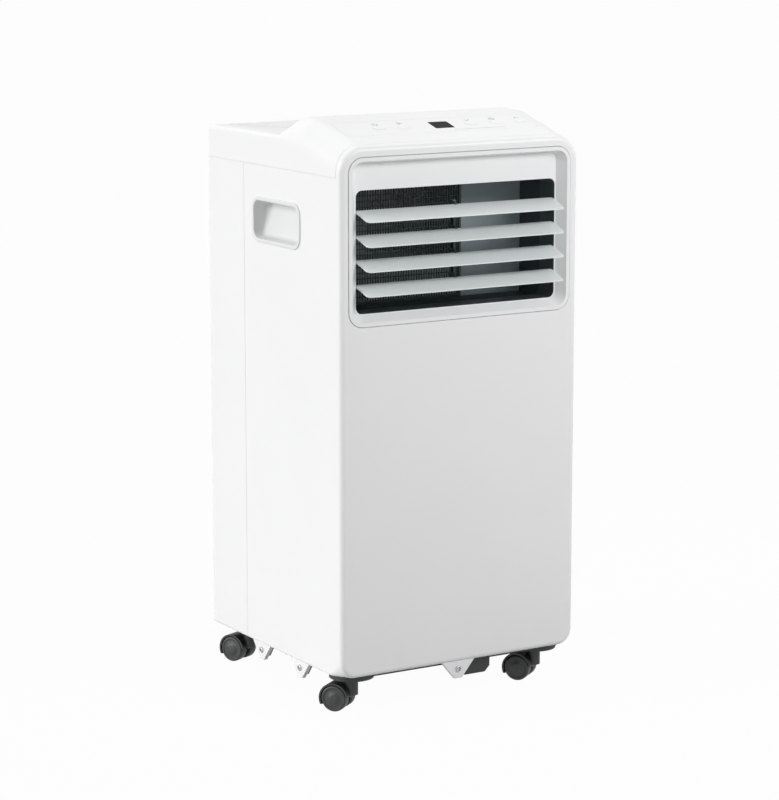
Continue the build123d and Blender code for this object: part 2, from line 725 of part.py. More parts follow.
def volute(x, z, step, neck, top):
    """Blower housing with the eye at the rear and the motor hole in front."""
    outer = Plane.XZ.offset(-VOLUTE_Y) * volute_face(x, z, step, neck, top, VOLUTE_T)
    inner = Plane.XZ.offset(-VOLUTE_Y - VOLUTE_T) * volute_face(x, z, step, neck, top, 0)
    body = extrude(outer, -VOLUTE_D) - extrude(inner, -(VOLUTE_D - 2 * VOLUTE_T))
    body -= rod(FAN_EYE, x, z, VOLUTE_END - 2 * VOLUTE_T, VOLUTE_END + 1)
    return body - rod(MOTOR_HOLE_R, x, z, VOLUTE_Y - 1, VOLUTE_Y + 2 * VOLUTE_T)


def upper_volute():
    """Housing whose mouth opens forward into the outlet duct."""
    body = volute(UPPER_X, UPPER_Z, UPPER_STEP, UPPER_NECK, UPPER_TOP - VOLUTE_T)
    low = OUTLET_LOW + DUCT_RISE + DUCT_T
    return body - block(*chimney_span(), VOLUTE_Y - 1, VOLUTE_Y + 2 * VOLUTE_T, low, UPPER_TOP - 2 * DUCT_T)


def lower_volute():
    """Housing whose mouth opens to the rear into the exhaust duct."""
    body = volute(LOWER_X, LOWER_Z, LOWER_STEP, LOWER_NECK, UPPER_FLOOR - VOLUTE_T)
    half = EXHAUST_HALF
    mouth = (-half, half, VOLUTE_END - 2 * VOLUTE_T, VOLUTE_END + 1, EXHAUST_Z - half, EXHAUST_Z + half)
    return body - block(*mouth)


def exhaust_duct():
    """Transition from the square blower mouth to the round collar."""
    half = EXHAUST_HALF
    end = Y_REAR - COLLAR_IN
    outer = loft([square_face(half + DUCT_T, VOLUTE_END), round_face(half + DUCT_T, end)])
    return outer - loft([square_face(half, VOLUTE_END), round_face(half, end)])


def square_face(half, y):
    """Rounded square on the exhaust axis."""
    return Plane.XZ.offset(-y) * Pos(0, EXHAUST_Z) * RectangleRounded(2 * half, 2 * half, 12)


def round_face(radius, y):
    """Circle on the exhaust axis."""
    return Plane.XZ.offset(-y) * Pos(0, EXHAUST_Z) * Circle(radius)


def exhaust_collar():
    """Round collar that takes the hose, with bayonet pads."""
    radius = COLLAR_R + COLLAR_T
    body = rod(radius, 0, EXHAUST_Z, Y_REAR - COLLAR_IN, COLLAR_END)
    body += rod(radius + COLLAR_FLANGE, 0, EXHAUST_Z, Y_REAR, Y_REAR + COLLAR_FLANGE_T)
    pad = Pos(radius, 0) * Rectangle(4, 14)
    pads = Sketch() + [Rot(0, 0, turn) * pad for turn in (90, 210, 330)]
    place = Plane.XZ.offset(-(COLLAR_END - 5)) * Pos(0, EXHAUST_Z)
    body += extrude(place * pads, -3)
    return body - rod(COLLAR_R, 0, EXHAUST_Z, Y_REAR - COLLAR_IN - 1, COLLAR_END + 1)


def blower_wheel(x, z):
    """Drum wheel: hub, back plate, forward-curved blades and end ring."""
    y0 = VOLUTE_Y + FAN_SET
    y1 = y0 + FAN_D
    inner = FAN_EYE
    body = rod(FAN_R, x, z, y0, y0 + FAN_PLATE)
    body += rod(SHAFT_R + 5, x, z, y0, y0 + 20)
    ring = rod(FAN_R, x, z, y1 - FAN_PLATE, y1) - rod(inner, x, z, y1 - FAN_PLATE, y1)
    body += ring
    chord = FAN_R - inner - 1
    blade = Pos(inner + chord / 2 + 0.5, 0) * Rot(0, 0, 32) * Rectangle(chord, 1.4)
    blades = Sketch() + [Rot(0, 0, turn * 360 / WHEEL_BLADES) * blade for turn in range(WHEEL_BLADES)]
    body += extrude(Plane.XZ.offset(-y0 - 1) * Pos(x, z) * blades, -(FAN_D - 2))
    return body - rod(SHAFT_R + 0.02, x, z, y0 - 1, y0 + 21)


def fan_shaft(x, z):
    """Steel shaft from the motor to the wheel hub."""
    return rod(SHAFT_R, x, z, VOLUTE_Y - MOTOR_D + 8, VOLUTE_Y + FAN_SET + 20)


def fan_motor(x, z):
    """Round motor on the front of a blower housing."""
    y0 = VOLUTE_Y - MOTOR_D
    body = rod(MOTOR_R - 4, x, z, y0, VOLUTE_Y)
    body += rod(MOTOR_R, x, z, y0 + 12, VOLUTE_Y - 8)
    for turn in (45, 135, 225, 315):
        dx = (MOTOR_R + 4) * cos(radians(turn))
        dz = (MOTOR_R + 4) * sin(radians(turn))
        body += rod(6, x + dx, z + dz, VOLUTE_Y - 12, VOLUTE_Y)
    return body - rod(SHAFT_R + RUN, x, z, y0 + 6, VOLUTE_Y + 1)


def coil(low, height):
    """Finned coil with end plates and tube ends."""
    y0 = VOLUTE_END
    y1 = y0 + COIL_T
    body = block(-COIL_X, COIL_X, y0, y1, low, low + height)
    pitch = 2 * (COIL_X - COIL_END) / COIL_FINS
    cut = Rectangle(pitch * 0.55, 6)
    cuts = Sketch() + [place * cut for place in GridLocations(pitch, COIL_T, COIL_FINS, 2)]
    place = Plane.XY.offset(low + COIL_END) * Pos(0, (y0 + y1) / 2)
    body -= extrude(place * cuts, height - 2 * COIL_END)
    for step in range(6):
        z = low + height * (step + 0.5) / 6
        body += cross_bar(PIPE_R, (y0 + y1) / 2, z, -COIL_X - 6, COIL_X + 6)
    return body


def drip_tray():
    """Tray that catches the water under the evaporator."""
    half = COIL_X + 4
    y0 = VOLUTE_END
    y1 = y0 + COIL_T + 8
    low = EVAPORATOR_LOW - TRAY_T
    body = block(-half, half, y0, y1, low, low + TRAY_H)
    return body - block(-half + TRAY_T, half - TRAY_T, y0 - 1, y1 - TRAY_T, low + TRAY_T, low + TRAY_H + 1)


def base_pan():
    """Black base with lug flanges, sump, caster bosses and the drain spigot."""
    body = pan_box(0, PAN_Z, PAN_Z + PAN_H)
    body += sump_box(0, PAN_FLOOR)
    for x, y in caster_places().values():
        body += post(FRONT_BOSS_R if y < 0 else REAR_BOSS_R, x, y, BOSS_Z, PAN_FLOOR)
    for place in sum(lug_places(), []):
        behind = place.offset(-LUG_T)
        flange = extrude(lug_face(behind, LUG_SPARE), LUG_SET + LUG_T - LIP - PAN_GAP - PAN_T)
        body += flange & block(-X_SIDE, X_SIDE, Y_FRONT, Y_REAR, 0, CASE_BOTTOM - FIT)
    body -= pan_box(PAN_T, PAN_FLOOR, PAN_Z + PAN_H + 1)
    body -= sump_box(PAN_T, PAN_FLOOR + 1)
    for x, y in caster_places().values():
        body += post(STEM_BOSS_R, x, y, PAN_Z, BOSS_TOP)
        body -= post(STEM_R + RUN, x, y, BOSS_Z - 1, BOSS_Z + STEM_H + 1)
    for place in sum(lug_places(), []):
        body -= extrude(place.offset(-LUG_T) * Pos(0, -SCREW_RISE) * Circle(SCREW_R + RUN), -(LIP - 1))
    volute_low = LOWER_Z - VOLUTE_R - VOLUTE_T
    y0 = VOLUTE_Y + 10
    body += block(LOWER_X - 30, LOWER_X - 10, y0, VOLUTE_END - 10, PAN_FLOOR - 1, volute_low)
    for x in (-COIL_X / 2, COIL_X / 2):
        y0 = VOLUTE_END + 6
        body += block(x - 12, x + 12, y0, y0 + COIL_T - 12, PAN_FLOOR - 1, CONDENSER_LOW)
    z = PAN_Z + SPIGOT_RISE
    body += rod(SPIGOT_R, SPIGOT_X, z, PAN_REAR - PAN_T, Y_REAR + SPIGOT_OUT)
    return body - rod(SPIGOT_BORE, SPIGOT_X, z, PAN_REAR - 2 * PAN_T, Y_REAR + SPIGOT_OUT + 1)


def sump_box(inset, top):
    """Outline of the sump under the pan, made smaller by the inset."""
    half = SUMP_W / 2 - inset
    y0 = PAN_FRONT + 4
    body = block(SUMP_X - half, SUMP_X + half, y0 + inset, y0 + SUMP_L - inset, SUMP_Z + inset, top)
    edge = body.edges().filter_by(Axis.Y).group_by(Axis.Z)[0].sort_by(Axis.X)[-1]
    return chamfer(edge, SUMP_CHAMFER)


def pan_box(inset, z0, z1):
    """Rounded prism of the pan outline."""
    width = 2 * (PAN_HALF - inset)
    depth = PAN_REAR - PAN_FRONT - 2 * inset
    return extrude(Plane.XY.offset(z0) * RectangleRounded(width, depth, PAN_R - inset), z1 - z0)


def drain_plug():
    """Rubber plug in the drain spigot."""
    z = PAN_Z + SPIGOT_RISE
    end = Y_REAR + SPIGOT_OUT
    body = rod(SPIGOT_BORE - RUN, SPIGOT_X, z, end - PLUG_IN, end)
    return body + rod(PLUG_HEAD_R, SPIGOT_X, z, end, end + 3)


def cord_gland():
    """Bushing in the rear wall where the supply cord would enter."""
    body = rod(GLAND_R, GLAND_X, GLAND_Z, Y_REAR, Y_REAR + 4)
    body += rod(GLAND_R - 2 - FIT, GLAND_X, GLAND_Z, Y_REAR - WALL - 4, Y_REAR + 1)
    return body - rod(GLAND_BORE, GLAND_X, GLAND_Z, Y_REAR - WALL - 5, Y_REAR + 5)


def casing_screws():
    """Screws that hold the casing lugs to the base pan."""
    solids = []
    for place in sum(lug_places(), []):
        at = place * Pos(0, -SCREW_RISE)
        head = extrude(at * Circle(SCREW_HEAD_R), SCREW_HEAD_T)
        head = chamfer(head.faces().sort_by(Axis(place.origin, place.z_dir))[-1].edges(), 0.6)
        solids.append(head + extrude(at * Circle(SCREW_R), -(LUG_T + LIP - 3)))
    return Compound(children=solids)


def grip_plate(shrink):
    """Rounded outline of a hand grip, made smaller by the shrink."""
    corner = GRIP_R - shrink
    return RectangleRounded(GRIP_W - 2 * shrink, GRIP_H - 2 * shrink, corner)


def grip_cup(side):
    """Hand-grip cup with a raised rim and a floor that leans in at the top."""
    y = Y_FRONT + GRIP_BACK
    wall = Plane((X_SIDE, y, GRIP_Z), x_dir=(0, 1, 0), z_dir=(1, 0, 0))
    lean = radians(GRIP_LEAN)
    floor = Plane((X_SIDE - GRIP_D, y, GRIP_Z), x_dir=(0, 1, 0), z_dir=(cos(lean), 0, sin(lean)))
    shoulder = wall.offset(-2 * WALL)
    body = extrude(wall * grip_plate(-GRIP_RIM), GRIP_PROUD)
    body += extrude(shoulder * grip_plate(0), 2 * WALL)
    body += loft([shoulder * grip_plate(0), floor.offset(-GRIP_T) * grip_plate(GRIP_DRAFT)])
    mouth = wall.offset(GRIP_PROUD + 0.1) * grip_plate(GRIP_T)
    body -= loft([mouth, floor * grip_plate(GRIP_DRAFT + GRIP_T)])
    return body if side > 0 else mirror(body, about=Plane.YZ)


def panel_prism(width, length, corner, z0, z1, x=0.0, v=0.0):
    """Rounded prism square to the control slope."""
    face = Pos(x, v) * RectangleRounded(width, length, corner)
    return extrude(PANEL_PLANE.offset(z0) * face, z1 - z0)


def control_panel():
    """Flush fascia with key holes, display pocket and board posts."""
    body = panel_prism(PANEL_W, PANEL_L, PANEL_R, PANEL_UNDER, 0)
    grow = 2 * PANEL_FLANGE
    body += panel_prism(PANEL_W + grow, PANEL_L + grow, PANEL_R + PANEL_FLANGE, PANEL_UNDER, -SKIN)
    for x in KEY_XS:
        gap = 2 * KEY_GAP
        body -= panel_prism(KEY_W + gap, KEY_L + gap, KEY_L / 2, PANEL_UNDER - 1, 1, x)
    gap = 2 * KEY_GAP
    body -= panel_prism(DISPLAY_W + gap, DISPLAY_L + gap, 1.5, -DISPLAY_T, 1, DISPLAY_X)
    ledge = 2 * DISPLAY_LEDGE
    body -= panel_prism(DISPLAY_W - ledge, DISPLAY_L - ledge, 1.0, PANEL_UNDER - 1, 1, DISPLAY_X)
    for x in (-PANEL_W / 2 + 8, PANEL_W / 2 - 8):
        for v in (-PANEL_L / 2 + 5, PANEL_L / 2 - 5):
            body += panel_prism(6, 6, 1.5, BOARD_TOP, PANEL_UNDER + 1, x, v)
    return body


def display_window():
    """Dark window over the display."""
    return panel_prism(DISPLAY_W, DISPLAY_L, 1.2, -DISPLAY_T, 0.15, DISPLAY_X)


def key(x):
    """One key with the flange that keeps it in the panel."""
    body = panel_prism(KEY_W, KEY_L, KEY_L / 2 - 0.4, PANEL_UNDER - 1, KEY_PROUD, x)
    grow = 2 * (KEY_GAP + KEY_FLANGE)
    flange = panel_prism(
        KEY_W + grow, KEY_L + grow, KEY_L / 2, PANEL_UNDER - KEY_FLANGE_T, PANEL_UNDER, x
    )
    return body + flange


def control_board():
    """Board with one switch under each key and the display block."""
    body = panel_prism(PANEL_W - 6, PANEL_L - 2, 2, BOARD_TOP - BOARD_T, BOARD_TOP)
    for x in KEY_XS:
        body += extrude(PANEL_PLANE.offset(BOARD_TOP) * Pos(x, 0) * Circle(SWITCH_R), SWITCH_H)
    ledge = 2 * DISPLAY_LEDGE + 2
    top = -DISPLAY_T - 1
    return body + panel_prism(DISPLAY_W - ledge, DISPLAY_L - ledge, 0.5, BOARD_TOP, top, DISPLAY_X)


def compressor():
    """Sealed compressor with its feet and suction accumulator."""
    x = COMPRESSOR_X
    y = COMPRESSOR_Y
    low = PAN_FLOOR + COMPRESSOR_FOOT
    high = low + COMPRESSOR_H
    pot = post(COMPRESSOR_R, x, y, low, high)
    pot = fillet(pot.faces().sort_by(Axis.Z)[-1].edges(), COMPRESSOR_R * 0.4)
    plate = post(COMPRESSOR_R + 4, x, y, low, low + 3)
    body = pot + plate
    for turn in (90, 210, 330):
        dx = (COMPRESSOR_R - 2) * cos(radians(turn))
        dy = (COMPRESSOR_R - 2) * sin(radians(turn))
        body += post(9, x + dx, y + dy, PAN_FLOOR, low + 1)
    back = y + COMPRESSOR_R + ACCUMULATOR_R + ACCUMULATOR_GAP
    body += post(ACCUMULATOR_R, x, back, low + 40, low + COMPRESSOR_H - 40)
    strap = low + COMPRESSOR_H / 2
    body += block(x - 8, x + 8, y, back, strap - 5, strap + 5)
    return body + post(PIPE_R + 2, x, y, high - 2, high + 6)


def refrigerant_pipes():
    """Discharge and suction pipes, clear of the blowers."""
    x = COMPRESSOR_X
    side = -COIL_X - 21
    top = PAN_FLOOR + COMPRESSOR_FOOT + COMPRESSOR_H + 6
    coil_y = VOLUTE_END + COIL_T / 2
    back = COMPRESSOR_Y + COMPRESSOR_R + ACCUMULATOR_R + ACCUMULATOR_GAP
    hot_z = CONDENSER_LOW + CONDENSER_H * 5.5 / 6
    cold_z = EVAPORATOR_LOW + EVAPORATOR_H * 0.5 / 6
    end = -COIL_X - 6
    hot = [(x, COMPRESSOR_Y, top), (x, COMPRESSOR_Y, top + 26), (side, COMPRESSOR_Y, top + 26)]
    hot += [(side, coil_y, top + 26), (side, coil_y, hot_z), (end, coil_y, hot_z)]
    level = top + 60
    low = PAN_FLOOR + COMPRESSOR_FOOT + COMPRESSOR_H - 40
    cold = [(x, back, low), (x, back, level), (side, back, level)]
    cold += [(side, coil_y, level), (side, coil_y, cold_z), (end, coil_y, cold_z)]
    return Compound(children=[pipe(hot), pipe(cold)])


def pipe(points):
    """Round pipe along a bent path that starts upwards."""
    path = FilletPolyline(*points, radius=7)
    return sweep(Plane(points[0], z_dir=(0, 0, 1)) * Circle(PIPE_R), path=path)


def control_box():
    """Box with the power electronics on the lower blower neck."""
    low = UPPER_FLOOR - BOX_H - 12
    half = BOX_W / 2
    front = VOLUTE_Y - BOX_D
    body = block(-half, half, front, VOLUTE_Y, low, low + BOX_H)
    body = chamfer(body.edges().filter_by(Axis.Y), 3)
    return body - block(2 - half, half - 2, front + 2, VOLUTE_Y - 2, low + 2, low + BOX_H - 2)


def caster_places():
    """Stem position of each caster."""
    return {
        "fl": (-CASTER_X, -CASTER_Y),
        "fr": (CASTER_X, -CASTER_Y),
        "rl": (-CASTER_X, CASTER_Y),
        "rr": (CASTER_X, CASTER_Y),
    }


def caster_body():
    """Web, hood and stem of a caster that trails towards +Y."""
    out = WEB_T / 2 + WHEEL_GAP + WHEEL_T
    inner = WHEEL_R + HOOD_GAP
    outer = inner + HOOD_T
    top = BOSS_Z - FIT
    rear = TRAIL + outer + 1
    web = cross_bar(WHEEL_R - 4, TRAIL, WHEEL_R, -WEB_T / 2, WEB_T / 2)
    web += block(-WEB_T / 2, WEB_T / 2, 0, TRAIL, WHEEL_R, WHEEL_R + inner + 1)
    web += block(-WEB_T / 2, WEB_T / 2, TRAIL, TRAIL + inner + 1, WHEEL_R, WHEEL_R + 6)
    hood = cross_bar(outer, TRAIL, WHEEL_R, -out, out) - cross_bar(inner, TRAIL, WHEEL_R, -out - 1, out + 1)
    keep = block(-out, out, TRAIL - outer - 1, rear, WHEEL_R + HOOD_OVER, top)
    hood &= keep + block(-out, out, TRAIL, rear, WHEEL_R - HOOD_UNDER, top)
    neck = post(SWIVEL_R, 0, 0, WHEEL_R + 4, top)
    body = web + hood + (neck - cross_bar(inner, TRAIL, WHEEL_R, -out, out))
    body += post(STEM_R, 0, 0, top - 2, BOSS_Z + STEM_H)
    return body - cross_bar(AXLE_R + 0.02, TRAIL, WHEEL_R, -out, out)


def caster_axle():
    """Steel axle through the web and both wheels."""
    reach = WEB_T / 2 + WHEEL_GAP + WHEEL_T - 2
    return cross_bar(AXLE_R, TRAIL, WHEEL_R, -reach, reach)


def caster_wheel(side):
    """One wheel with a bevelled rim and a blind axle hole."""
    x0 = WEB_T / 2 + WHEEL_GAP
    body = cross_bar(WHEEL_R, TRAIL, WHEEL_R, x0, x0 + WHEEL_T)
    body = chamfer(body.edges().filter_by(GeomType.CIRCLE), WHEEL_BEVEL, WHEEL_BEVEL / 2)
    body -= cross_bar(AXLE_R + RUN, TRAIL, WHEEL_R, x0 - 1, x0 + WHEEL_T - 1.6)
    return body if side > 0 else mirror(body, about=Plane.YZ)


def casters():
    """All caster pieces by node name."""
    pieces = {
        "body": caster_body(),
        "axle": caster_axle(),
        "wheel_a": caster_wheel(1),
        "wheel_b": caster_wheel(-1),
    }
    nodes = {}
    for name, (x, y) in caster_places().items():
        for piece, shape in pieces.items():
            nodes[f"caster_{name}_{piece}"] = Pos(x, y) * Rot(0, 0, CASTER_TURNS[name]) * shape
    return nodes


def all_nodes():
    """Every node by name."""
    shell = cabinet(0) - cabinet(WALL)
    nodes = {
        "front_casing": front_casing(shell),
        "rear_cover": rear_cover(shell),
        "top_cover": top_cover(shell),
        "base_pan": base_pan(),
        "outlet_bezel": outlet_bezel(),
        "louvre_frame": louvre_frame(),
        "outlet_guard": outlet_guard(),
        "air_duct": air_duct(),
        "louvre_link": louvre_link(),
        "grip_left": grip_cup(-1),
        "grip_right": grip_cup(1),
        "control_panel": control_panel(),
        "display_window": display_window(),
        "control_board": control_board(),
        "filter_door": filter_door(),
        "air_filter": air_filter(),
        "exhaust_collar": exhaust_collar(),
        "exhaust_duct": exhaust_duct(),
        "drain_plug": drain_plug(),
        "cord_gland": cord_gland(),
        "casing_screws": casing_screws(),
        "upper_volute": upper_volute(),
        "upper_wheel": blower_wheel(UPPER_X, UPPER_Z),
        "upper_shaft": fan_shaft(UPPER_X, UPPER_Z),
        "upper_motor": fan_motor(UPPER_X, UPPER_Z),
        "lower_volute": lower_volute(),
        "lower_wheel": blower_wheel(LOWER_X, LOWER_Z),
        "lower_shaft": fan_shaft(LOWER_X, LOWER_Z),
        "lower_motor": fan_motor(LOWER_X, LOWER_Z),
        "evaporator": coil(EVAPORATOR_LOW, EVAPORATOR_H),
        "condenser": coil(CONDENSER_LOW, CONDENSER_H),
        "drip_tray": drip_tray(),
        "compressor": compressor(),
        "refrigerant_pipes": refrigerant_pipes(),
        "control_box": control_box(),
    }
    for number in range(LOUVRE_COUNT):
        nodes[f"louvre_{number + 1}"] = louvre(number)
    for number, x in enumerate(KEY_XS):
        nodes[f"key_{number + 1}"] = key(x)
    nodes.update(casters())
    return nodes


os.makedirs("parts", exist_ok=True)
for node, shape in all_nodes().items():
    export_step(shape, f"parts/{node}.step")
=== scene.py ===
# %% [markdown]
# # Portable air conditioner on casters
# The real unit is a white moulded cabinet with a louvred outlet in front, keys on a sloping
# top and four twin-wheel casters. Its rear and its inner works follow what such units have.
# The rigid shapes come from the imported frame, so this file only dresses them: it adds what a
# mould or a printing screen adds, and gives every piece the finish of its material.

# %% Load the frame
import json
from math import cos, pi, radians, sin

import bmesh
import bpy
import numpy as np
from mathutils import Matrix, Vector


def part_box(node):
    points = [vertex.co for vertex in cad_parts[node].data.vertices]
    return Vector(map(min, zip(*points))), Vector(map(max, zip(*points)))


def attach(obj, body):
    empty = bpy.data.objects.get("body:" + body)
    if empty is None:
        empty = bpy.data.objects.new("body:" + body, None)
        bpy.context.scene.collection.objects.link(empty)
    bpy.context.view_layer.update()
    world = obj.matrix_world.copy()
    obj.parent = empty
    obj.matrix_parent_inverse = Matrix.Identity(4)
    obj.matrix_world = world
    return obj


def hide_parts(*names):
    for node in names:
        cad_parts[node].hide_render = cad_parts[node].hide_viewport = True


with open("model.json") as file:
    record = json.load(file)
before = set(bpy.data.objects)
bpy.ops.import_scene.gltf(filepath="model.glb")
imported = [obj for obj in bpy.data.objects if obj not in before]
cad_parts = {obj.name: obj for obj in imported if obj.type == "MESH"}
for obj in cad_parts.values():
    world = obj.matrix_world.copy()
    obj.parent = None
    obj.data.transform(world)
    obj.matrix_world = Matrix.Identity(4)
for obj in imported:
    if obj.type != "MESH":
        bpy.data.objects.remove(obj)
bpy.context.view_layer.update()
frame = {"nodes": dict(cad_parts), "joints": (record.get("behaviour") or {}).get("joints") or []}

scene = bpy.context.scene
scene.view_settings.view_transform = "Standard"
MM = 0.001

# %% [markdown]
# ## Camera
# A long lens keeps the uprights nearly parallel, as a product photographer wants. The camera
# stands a little to the left and looks slightly down, so the front, one side and the top show.
# Its place and lens were fitted to corners and seams of the cabinet in the photograph.

# %% Camera
AZIMUTH, ELEVATION = radians(-31.154), radians(10.378)
CAMERA_PLACE = (-1.7975, -2.9725, 0.9809)
FOCAL_LENGTH, SENSOR_WIDTH, FAR_CLIP = 128.53, 36, 200
level = cos(ELEVATION)
backward = Vector((sin(AZIMUTH) * level, -cos(AZIMUTH) * level, sin(ELEVATION)))
camera = bpy.data.objects.new("camera", bpy.data.cameras.new("camera"))
camera.location = CAMERA_PLACE
camera.rotation_mode = "QUATERNION"
camera.rotation_quaternion = backward.to_track_quat("Z", "Y")
camera.data.lens = FOCAL_LENGTH
camera.data.sensor_width = SENSOR_WIDTH
camera.data.clip_end = FAR_CLIP
scene.collection.objects.link(camera)
scene.camera = camera
print("camera stands", round(camera.location.length, 2), "m away")

# %% [markdown]
# ## Nodes and colours
# Every finish below is a small tree of nodes. One function adds a node, sets it and links it,
# and one function turns the hex value of a paint chip into the linear numbers that a shader
# needs.


# %% Node and colour helpers
def linear(code):
    """Hex to linear: c / 12.92 below 0.04045, and ((c + 0.055) / 1.055) to the power 2.4 above."""
    c = np.array([int(code[i:i + 2], 16) for i in (1, 3, 5)]) / 255
    c = np.where(c <= 0.04045, c / 12.92, ((c + 0.055) / 1.055) ** 2.4)
    return (*c.tolist(), 1.0)


def add(tree, kind, inputs=(), **settings):
    """Adds a node: settings are its properties, inputs give each socket a value or a link."""
    made = tree.nodes.new("ShaderNode" + kind)
    for key, value in settings.items():
        setattr(made, key, value)
    for key, value in dict(inputs).items():
        if isinstance(value, bpy.types.NodeSocket):
            tree.links.new(value, made.inputs[key])
        else:
            made.inputs[key].default_value = value
    return made


def blend(tree, share, first, second):
    """A colour that is the first where the share is 0 and the second where it is 1."""
    mix = add(tree, "Mix", {0: share, 6: first, 7: second}, data_type="RGBA")
    return mix.outputs[2]


def blank(name):
    """A new material with an empty tree, and the place on the piece in metres."""
    material = bpy.data.materials.new(name)
    material.use_nodes = True
    tree = material.node_tree
    tree.nodes.clear()
    return material, tree, add(tree, "TexCoord").outputs["Object"]


def surface_of(tree, shader):
    """Leads a shader to the output of its tree."""
    add(tree, "OutputMaterial", {"Surface": shader.outputs[0]})


print("half of full white is", round(linear("#808080")[0], 3), "in linear light")

# %% [markdown]
# ## Floor and light
# The studio is a white sweep: a pale floor that runs out of the picture, an even white sky and
# three lamps. The key comes from the left and a little behind, a softer lamp from above and
# behind, and a softbox stands to the right of the camera. The first two are wide suns, which
# light the floor evenly to its far end. The softbox is near, so the front fades a little towards
# the floor. To the camera the floor shows almost only its own white, so that it reads as paper,
# and no more than a trace of the shadow is left.

# %% Floor
FLOOR_HALF = 60.0
FLOOR_OWN_WHITE = 0.97


def background_ray(tree):
    """1 for rays of the camera, of reflections and of glass, and 0 for rays that light a piece."""
    path = add(tree, "LightPath").outputs
    first = {0: path["Is Camera Ray"], 1: path["Is Glossy Ray"]}
    first = add(tree, "Math", first, operation="MAXIMUM")
    both = {0: first.outputs[0], 1: path["Is Transmission Ray"]}
    return add(tree, "Math", both, operation="MAXIMUM").outputs[0]


paper, tree, _ = blank("matt_paper_sweep")
share = {0: background_ray(tree), 1: FLOOR_OWN_WHITE}
share = add(tree, "Math", share, operation="MULTIPLY")
matt = add(tree, "BsdfDiffuse", {"Color": linear("#bcbcbb"), "Roughness": 0.0})
white = add(tree, "Emission", {"Color": linear("#ffffff"), "Strength": 1.0})
sheet = {0: share.outputs[0], 1: matt.outputs[0], 2: white.outputs[0]}
surface_of(tree, add(tree, "MixShader", sheet))
corners = FLOOR_HALF * np.array([(-1, -1, 0), (1, -1, 0), (1, 1, 0), (-1, 1, 0)])
floor = bpy.data.objects.new("floor", bpy.data.meshes.new("floor"))
floor.data.from_pydata(corners.tolist(), [], [(0, 1, 2, 3)])
floor.data.materials.append(paper)
scene.collection.objects.link(floor)
print("floor:", 2 * FLOOR_HALF, "m wide")

# %% Sky
SKY_LIGHT = 0.28
world = bpy.data.worlds.new("studio")
world.use_nodes = True
scene.world = world
tree = world.node_tree
tree.nodes.clear()
sky = add(tree, "Background", {"Color": linear("#ffffff"), "Strength": SKY_LIGHT})
seen = add(tree, "Background", {"Color": linear("#ffffff"), "Strength": 1.0})
dome = {0: background_ray(tree), 1: sky.outputs[0], 2: seen.outputs[0]}
dome = add(tree, "MixShader", dome)
add(tree, "OutputWorld", {"Surface": dome.outputs[0]})
print("sky lights with", SKY_LIGHT)

# %% Lamps
SUNS = {  # direction, strength and width in degrees
    "key": ((-0.93, 0.27, 0.27), 0.79 * pi, 40),
    "overhead": ((0.05, 0.60, 0.80), 0.23 * pi, 70),
}
SOFTBOX_PLACE, SOFTBOX_AIM = Vector((0.90, -1.80, 1.60)), Vector((0.0, -0.16, 0.45))
SOFTBOX_WIDE, SOFTBOX_HIGH, SOFTBOX_WATTS = 1.2, 0.8, 29.5


def lamp(name, kind, strength, towards):
    """A lamp whose light comes from the given direction."""
    made = bpy.data.objects.new(name, bpy.data.lights.new(name, kind))
    made.data.energy = strength
    made.rotation_mode = "QUATERNION"
    made.rotation_quaternion = Vector(towards).to_track_quat("Z", "Y")
    scene.collection.objects.link(made)
    return made


for name, (towards, strength, width) in SUNS.items():
    lamp(name, "SUN", strength, towards).data.angle = radians(width)
softbox = lamp("softbox", "AREA", SOFTBOX_WATTS, SOFTBOX_PLACE - SOFTBOX_AIM)
softbox.location = SOFTBOX_PLACE
softbox.data.shape = "RECTANGLE"
softbox.data.size = SOFTBOX_WIDE
softbox.data.size_y = SOFTBOX_HIGH
print("lamps:", len(bpy.data.lights))

# %% [markdown]
# ## Moulded plastics
# Most of the unit is injection moulded: ABS for what is seen, polypropylene for the pan and
# the guard, nylon for the casters. The mould leaves a fine spark-eroded grain, and the melt
# cools a little unevenly, so colour and gloss wander slowly over a large face. Both are noise
# in object coordinates, with the grain as bump. The real grain is near 0.3 mm and a pixel is
# 1.2 mm, so it is drawn about five times as coarse as it is.

# %% Moulded plastic finish
GRAIN_DETAIL, GRAIN_BUMP = 2.0, 0.6


def moulded(name, colour, second, rough, grain, depth, patch=120.0, swing=0.10, ior=1.53):
    """Two close colours in slow patches, wandering gloss and a mould grain, sizes in mm."""
    material, tree, place = blank(name)
    slow = {"Vector": place, "Scale": 1 / (patch * MM), "Detail": GRAIN_DETAIL}
    slow = add(tree, "TexNoise", slow)
    fine = {"Vector": place, "Scale": 1 / (grain * MM), "Detail": GRAIN_DETAIL}
    fine = add(tree, "TexNoise", fine)
    tone = blend(tree, slow.outputs[0], linear(colour), linear(second))
    gloss = {"Value": slow.outputs[0], "To Min": rough - swing / 2, "To Max": rough + swing / 2}
    gloss = add(tree, "MapRange", gloss)
    relief = {"Height": fine.outputs[0], "Strength": GRAIN_BUMP, "Distance": depth * MM}
    relief = add(tree, "Bump", relief)
    shader = {"Base Color": tone, "Roughness": gloss.outputs[0], "IOR": ior}
    shader["Normal"] = relief.outputs[0]
    surface_of(tree, add(tree, "BsdfPrincipled", shader))
    return material


